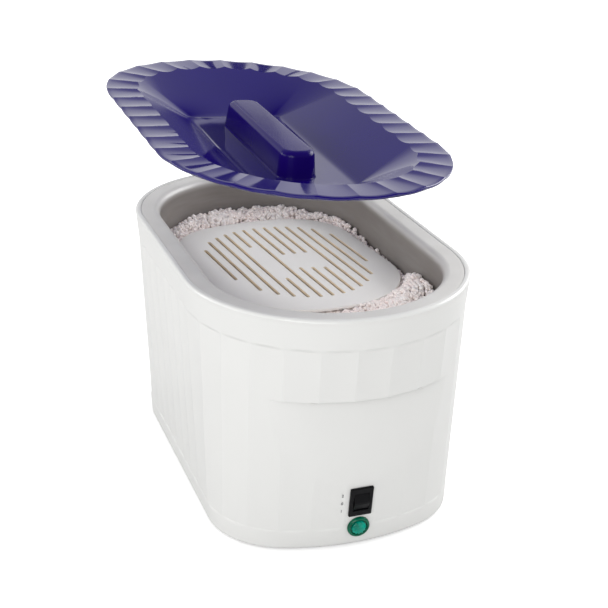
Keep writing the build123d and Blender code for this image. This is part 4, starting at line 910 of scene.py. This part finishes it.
def slot_ring(x, low, high, grow, n=6):
    """A clockwise slot outline, its half width grown."""
    inner = SLOT_WIDTH / 2
    r = inner + grow
    turns = np.linspace(0, pi, n)
    top = [(x + r * cos(a), high - inner + r * sin(a)) for a in turns]
    foot = [(x + r * cos(a), low + inner + r * sin(a)) for a in turns + pi]
    return np.array(list(reversed(top + foot)))


def grid_rows(work, loops, heights):
    """The same loop at each height, moved out of the grid's own axes."""
    turn = radians(GRID_TURN)
    rows = []
    for z, loop in zip(heights, loops):
        row = []
        for u, v in loop:
            x = GRID_CENTRE[0] + u * cos(turn) - v * sin(turn)
            y = GRID_CENTRE[1] + u * sin(turn) + v * cos(turn)
            row.append(work.verts.new((x * MM, y * MM, (WAX_Z + GRID_LIFT + z) * MM)))
        rows.append(row)
    return rows


def next_pairs(row):
    """Each item of a closed row with the one after it."""
    return zip(row, row[1:] + row[:1])


def grid():
    """Slotted plate with rounded edges, cut as one sheet between two filled faces."""
    e = GRID_EDGE
    steps = [(e, 0), (e * 0.3, e * 0.3), (0, e)]
    steps += [(0, GRID_THICK - e), (e * 0.3, GRID_THICK - e * 0.3), (e, GRID_THICK)]
    insets, heights = zip(*steps)
    outline = egg_outline()
    walls = [[outline - normals_of(outline) * inset for inset in insets]]
    for x, low, high in slot_spans():
        walls.append([slot_ring(x, low, high, inset * 0.45) for inset in insets])
    work = bmesh.new()
    under, over = [], []
    for number, loops in enumerate(walls):
        rows = grid_rows(work, loops, heights)
        for low_row, high_row in zip(rows, rows[1:]):
            for (a, b), (c, d) in zip(next_pairs(low_row), next_pairs(high_row)):
                work.faces.new((a, b, d, c)).material_index = min(number, 1)
        under += [work.edges.get(pair) for pair in next_pairs(rows[0])]
        over += [work.edges.get(pair) for pair in next_pairs(rows[-1])]
    for edges in (under, over):
        bmesh.ops.triangle_fill(work, use_beauty=True, edges=edges)
    bmesh.ops.recalc_face_normals(work, faces=work.faces)
    mesh = bpy.data.meshes.new("grid_plate")
    work.to_mesh(mesh)
    work.free()
    shade_mesh(mesh, 40)
    mesh.materials.append(LOOKS["grid_plastic"])
    # the slots' walls take the second material, their painted shade
    mesh.materials.append(LOOKS["slot_wall_shade"])
    plate = add_object("grid_plate", mesh)
    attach(plate, "grid")
    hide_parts("grid")


# Lid and handle

def held_matrix():
    """From the lid's seat on the rim to the place where it is held."""
    joint = next(j for j in frame["joints"] if j["name"] == "lid_lift")
    place = Vector(joint["pos_m"])
    swing = Matrix.Rotation(-radians(joint["range_deg"][0]), 4, Vector(joint["axis"]))
    turn = Matrix.Rotation(radians(LID_TURN), 4, "Z")
    return Matrix.Translation(place) @ swing @ Matrix.Translation(-place) @ turn


def lid_alongs():
    """Ridge places on the lid's right half, along its edge from the front's middle."""
    step = pi / LID_END_SCALLOPS * LID_RADIUS
    pitch = STRAIGHT / LID_SIDE_PITCHES
    near = [step * k for k in range(LID_END_SCALLOPS // 2 + 1)]
    side = [LID_END + pitch * k for k in range(1, int(LID_SIDE_PITCHES) + 1)]
    far = [LID_END + STRAIGHT + step * (k + 0.5) for k in range(LID_END_SCALLOPS // 2)]
    return near + side + far


def lid_columns(per_scallop=10):
    """Place along the edge and ridge height, 0 to 1, for each column of the right half."""
    half_total = 2 * LID_END + STRAIGHT
    alongs = lid_alongs()
    spans = list(zip(alongs, alongs[1:])) + [(alongs[-1], 2 * half_total - alongs[-1])]
    columns = []
    for low, high in spans:
        for t in np.arange(per_scallop) / per_scallop:
            along = low + (high - low) * t
            if along < half_total - 1e-6:
                columns.append((along, (2 * t - 1) ** 2))
    return columns + [(half_total, 0.0)]


def lid_place(radius, along):
    """A point on a stadium of another radius, on the same ray as a point of the lid's edge."""
    half = STRAIGHT / 2
    if along <= LID_END:
        a = along / LID_RADIUS
        return radius * sin(a), -half - radius * cos(a)
    if along <= LID_END + STRAIGHT:
        return radius, along - LID_END - half
    a = (along - LID_END - STRAIGHT) / LID_RADIUS
    return radius * cos(a), half + radius * sin(a)


def floor_place(along, grow=0.0):
    """The point of the dish's floor that lies opposite a point of the lid's edge."""
    spread = radians(DISH_CORNER_ANGLE) * LID_RADIUS
    x = DISH_HALF_WIDTH + grow
    y = DISH_HALF_LENGTH + grow
    corner = DISH_CORNER + grow
    mirror = along > LID_END + STRAIGHT / 2
    a = 2 * LID_END + STRAIGHT - along if mirror else along
    if a <= spread:
        px, py = (x - corner) * a / spread, -y
    elif a <= LID_END:
        turn = (a - spread) / (LID_END - spread) * pi / 2
        px, py = x - corner + corner * sin(turn), -(y - corner + corner * cos(turn))
    else:
        px, py = x, -(y - corner) * (1 - (a - LID_END) / (STRAIGHT / 2))
    return px, (-py if mirror else py)


def whole_lid(half_values):
    """A whole ring from its right half, which runs from the front to the back."""
    right = np.asarray(half_values, float)
    left = right[1:-1][::-1] * (-1, 1, 1)
    return np.concatenate([right, left])


def hollow(h, share):
    """Depth of the rim's hollows under its ridges, from the lid's edge, 0, to the dish, 1."""
    return (HOLLOW_OUTER + (HOLLOW_INNER - HOLLOW_OUTER) * share) * (1 - h)


def edge_ring(columns, inset, drop):
    """A ring at the lid's edge, this far in from it and below its scallops."""
    radius = LID_RADIUS - inset
    return whole_lid([(*lid_place(radius, a), RIDGE_Z - hollow(h, 0) - drop) for a, h in columns])


def rim_rings(columns):
    """The lid's edge and its scalloped rim, up to the crease where the dish begins."""
    steps = ((0.3, 1.7), (0.0, 1.1), (0.0, 0.6), (0.2, 0.2), (EDGE_ROUND, 0.0))
    rings = [edge_ring(columns, inset, drop) for inset, drop in steps]
    for share in [*np.linspace(0.12, 0.92, 7), 0.965, 1.0]:
        rings.append(whole_lid([(*rim_edge(a, h, share), RIDGE_Z - hollow(h, share)) for a, h in columns]))
    return rings


def dish_rings(columns):
    """The dish's wall, its soft foot and its floor."""
    fall = RIDGE_Z - DISH_Z
    rings = []
    for v in [*np.linspace(0.02, 0.92, 12), 0.95, 0.975, 1.0, 1.025, 1.05, 1.09]:
        ring = []
        for a, h in columns:
            start = HOLLOW_INNER * (1 - h) / fall
            along = start + (1 - start) * v
            px, py = lid_place(LID_RADIUS - RIM_WIDTH, a)
            qx, qy = floor_place(a)
            line = RIDGE_Z - fall * along
            z = DISH_Z + DISH_SOFT * log1p(exp(min((line - DISH_Z) / DISH_SOFT, 60)))
            z += (line - z) * smooth_step(1 - v / 0.3)
            ring.append((px + (qx - px) * along, py + (qy - py) * along, z))
        rings.append(whole_lid(ring))
    feet = [floor_place(a) for a, h in columns]
    return rings + [whole_lid([(x * 0.6, y * 0.88, DISH_Z) for x, y in feet])]


def under_rings(columns):
    """The lid's underside, from the middle of the dish out to the edge."""
    rings = []
    for factor in (0.6, 1.0):
        feet = [floor_place(a, LID_THICK * factor) for a, h in columns]
        rings.append(whole_lid([(x * factor, y * factor, DISH_Z - LID_THICK) for x, y in feet]))
    for radius in (LID_RADIUS - RIM_WIDTH + LID_THICK, LID_RADIUS - 2.2):
        rings.append(whole_lid([(*lid_place(radius, a), LID_LOW) for a, h in columns]))
    return rings + [edge_ring(columns, inset, drop) for inset, drop in ((1.2, 2.6), (0.6, 2.3))]


def lid_shell():
    """Scalloped rim and dish as one thin shell."""
    columns = lid_columns()
    under, rim = under_rings(columns), rim_rings(columns)
    shell = piece("lid_moulding", under + rim + dish_rings(columns), "lid_violet", sharp=50)
    crease_lid(shell.data, len(rim[0]), len(under), len(under) + len(rim) - 1)
    shell.data.transform(held_matrix())
    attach(shell, "lid")
    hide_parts("lid_shell")


def crease_lid(mesh, columns, first_ring, crease_ring):
    """Hard edges along the rim's ridges and where the rim meets the dish."""
    right = [k for k, (along, h) in enumerate(lid_columns()) if h > 0.999]
    ridges = set(right) | {(columns - k) % columns for k in right}
    for edge in mesh.edges:
        (row, column), (next_row, next_column) = sorted(divmod(v, columns) for v in edge.vertices)
        on_rim = first_ring + 3 <= row and next_row <= crease_ring
        if on_rim and column == next_column and column in ridges:
            edge.use_edge_sharp = True
        if row == next_row == crease_ring:
            edge.use_edge_sharp = True


def rim_edge(along, h, share):
    """A point of the rim between its outer edge and the crease at the dish."""
    outer = lid_place(LID_RADIUS - EDGE_ROUND, along)
    inner = lid_place(LID_RADIUS - RIM_WIDTH, along)
    foot = floor_place(along)
    start = HOLLOW_INNER * (1 - h) / (DISH_DEPTH + SCALLOP_DEPTH)
    crease = (inner[0] + (foot[0] - inner[0]) * start, inner[1] + (foot[1] - inner[1]) * start)
    return outer[0] + (crease[0] - outer[0]) * share, outer[1] + (crease[1] - outer[1]) * share


def handle():
    """Block handle that leans in towards its top, with round ends and a soft upper edge."""
    straight = HANDLE_HEIGHT - HANDLE_ROUND
    steps = [(-0.5, 0.02), (-0.45, 0.35), (-0.1, 0.7), (0.0, 1.2)]
    steps += [(0.0, z) for z in np.linspace(4, straight, 5)]
    for a in np.linspace(0.12, pi / 2, 10):
        steps.append((HANDLE_ROUND * (1 - cos(a)), straight + HANDLE_ROUND * sin(a)))
    rings = []
    for inset, z in steps:
        lean = z / HANDLE_HEIGHT
        half_width = HANDLE_HALF_WIDTH - HANDLE_LEAN * lean - inset
        half_length = HANDLE_HALF_LENGTH - HANDLE_END_LEAN * lean - inset
        ring = rounded_rectangle(half_width, half_length, HANDLE_CORNER - HANDLE_LEAN * lean - inset)
        rings.append(at_height(ring, DISH_Z + z))
    grip = piece("handle_block", rings, "handle_violet", sharp=40)
    grip.data.transform(held_matrix())
    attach(grip, "lid")
    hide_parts("lid_handle")


# Lamp and numbers

def lamp_lens():
    """Green lens: a ring, a dark groove and a cut heart that catches the light."""
    turns = np.linspace(0, 2 * pi, LENS_COLUMNS, endpoint=False)
    circle = np.column_stack([np.cos(turns), np.sin(turns)])
    outer, rim, top = LENS_RADIUS, LENS_THICK, LENS_THICK + LENS_RISE
    ring_profile = [(outer, 0.1), (outer, 1.4), (outer - 0.25, 2.1), (outer - 0.8, rim),
                    (7.3, rim), (7.0, rim - 0.25), (6.7, 1.2)]
    rings = [at_height(circle * r, z) for r, z in ring_profile]
    collar = piece("lens_ring", rings, "lens_green", sharp=40)
    cuts = np.where(np.arange(LENS_COLUMNS) * HEART_CUTS % LENS_COLUMNS < LENS_COLUMNS / 2, 1, -1)
    wave = HEART_WAVE * np.cos(turns * HEART_CUTS)
    heart_profile = [(5.9, 1.3, 0, 0), (5.8, rim + 0.2, 1, 0), (5.2, rim + 0.9, 1, 1),
                     (3.6, top, 1, 1), (0.6, top, 1, 0)]
    rings = []
    for r, z, is_cut, is_wavy in heart_profile:
        ring = circle * (r * (1 + HEART_CUT * cuts * is_cut))[:, None]
        rings.append(at_height(ring, z + wave * is_wavy))
    # the heart's lighter material is painted glow
    heart = piece("lens_heart", rings, "lens_heart", sharp=18)
    for made in (collar, heart):
        made.data.transform(front_matrix(LAMP_Z))
        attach(made, "housing")
    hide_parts("lamp_lens")


def numbers():
    """Plain numbers beside the switch's three places."""
    for text, rise in NUMBERS:
        curve = bpy.data.curves.new("number_" + text, "FONT")
        curve.body = text
        curve.size = NUMBER_HEIGHT * MM / FONT_SHARE
        curve.align_x = "RIGHT"
        curve.align_y = "CENTER"
        curve.extrude = NUMBER_RAISE * MM
        made = add_object("number_" + text, curve)
        made.data.materials.append(LOOKS["number_ink"])
        made.matrix_world = front_matrix(SWITCH_Z + rise) @ Matrix.Translation((NUMBER_X * MM, 0, 0.1 * MM))
        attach(made, "housing")


# Camera, lamps, room and floor

def camera():
    """The camera that took the photograph."""
    data = bpy.data.cameras.new("camera")
    data.lens = FOCAL_MM
    data.sensor_width = SENSOR_MM
    made = add_object("camera", data)
    a, e, roll = (radians(v) for v in (CAMERA_TURN, CAMERA_FALL, CAMERA_ROLL))
    back = Vector((sin(a) * cos(e), -cos(a) * cos(e), sin(e)))
    right = Vector((0, 0, 1)).cross(back).normalized()
    up = back.cross(right)
    turned_right = right * cos(roll) + up * sin(roll)
    turned_up = up * cos(roll) - right * sin(roll)
    axes = Matrix((turned_right, turned_up, back)).transposed().to_4x4()
    made.matrix_world = Matrix.Translation(Vector(EYE) * MM) @ axes
    bpy.context.scene.camera = made


def area_light(name, place, size, power):
    """A soft lamp aimed at the bath."""
    data = bpy.data.lights.new(name, "AREA")
    data.shape = "RECTANGLE"
    data.size, data.size_y = size
    data.energy = power
    made = add_object(name, data)
    made.location = place
    made.rotation_euler = (Vector(AIM) - Vector(place)).to_track_quat("-Z", "Y").to_euler()


def world():
    """White to the camera and to glass. Reflections find a white back wall and a dim room in front."""
    made = bpy.data.worlds.new("studio")
    bpy.context.scene.world = made
    made.use_nodes = True
    background = made.node_tree.nodes["Background"]
    background.inputs["Color"].default_value = (1, 1, 1, 1)
    path, place, parts = (new_node(background, k) for k in ("LightPath", "TexCoord", "SeparateXYZ"))
    link(place, "Generated", parts, "Vector")
    high = map_range(parts, "Z", HIGH_BAND, (WORLD_BACK, WORLD_HIGH))
    back = map_range(parts, "Y", BACK_BAND, (WORLD_FRONT, WORLD_BACK))
    link(high, "Result", back, "To Max")
    glossy = new_node(background, "Mix")
    glossy.inputs["A"].default_value = WORLD_LIGHT
    link(path, "Is Glossy Ray", glossy, "Factor")
    link(back, "Result", glossy, "B")
    seen = new_node(background, "Math")
    seen.operation = "MAXIMUM"
    link(path, "Is Camera Ray", seen, 0)
    link(path, "Is Transmission Ray", seen, 1)
    strength = new_node(background, "Mix")
    strength.inputs["B"].default_value = 1.0
    link(seen, 0, strength, "Factor")
    link(glossy, "Result", strength, "A")
    link(strength, "Result", background, "Strength")


def board(name, corners):
    """A flat piece with four corners, in metres."""
    mesh = bpy.data.meshes.new(name)
    mesh.from_pydata(corners, [], [(0, 1, 2, 3)])
    return add_object(name, mesh)


def floor():
    """A white floor that keeps the object's shadow and fades to plain white farther out."""
    s = FLOOR_SIZE
    made = board("floor", [(-s, -s, 0), (s, -s, 0), (s, s, 0), (-s, s, 0)])
    shader = new_material("floor", FLOOR_COLOR, 0.9, specular=0.0)
    path = new_node(shader, "LightPath")
    place = new_node(shader, "TexCoord")
    far = new_node(shader, "VectorMath")
    far.operation = "LENGTH"
    link(place, "Object", far, 0)
    fade = map_range(far, "Value", FLOOR_FADE, (FLOOR_GLOW, 1.0), "SMOOTHSTEP")
    strength = new_node(shader, "Math")
    strength.operation = "MULTIPLY"
    link(path, "Is Camera Ray", strength, 0)
    link(fade, "Result", strength, 1)
    shader.inputs["Emission Color"].default_value = (1, 1, 1, 1)
    link(strength, 0, shader, "Emission Strength")
    made.data.materials.append(LOOKS["floor"])


def dark_card():
    """A dark board high up behind the bath and to its right, which the glossy lid reflects."""
    low, high = CARD_HEIGHTS
    corners = [(*CARD_LEFT, low), (*CARD_RIGHT, low), (*CARD_RIGHT, high), (*CARD_LEFT, high)]
    made = board("dark_card", corners)
    new_material("card", CARD_COLOR, 1.0, specular=0.0)
    made.data.materials.append(LOOKS["card"])


dress_cad_nodes()
housing()
tank()
wax()
grid()
lid_shell()
handle()
lamp_lens()
numbers()
camera()
world()
floor()
dark_card()
for name, place, size, power in LAMPS:
    area_light(name, place, size, power)
bpy.context.scene.view_settings.view_transform = "Standard"
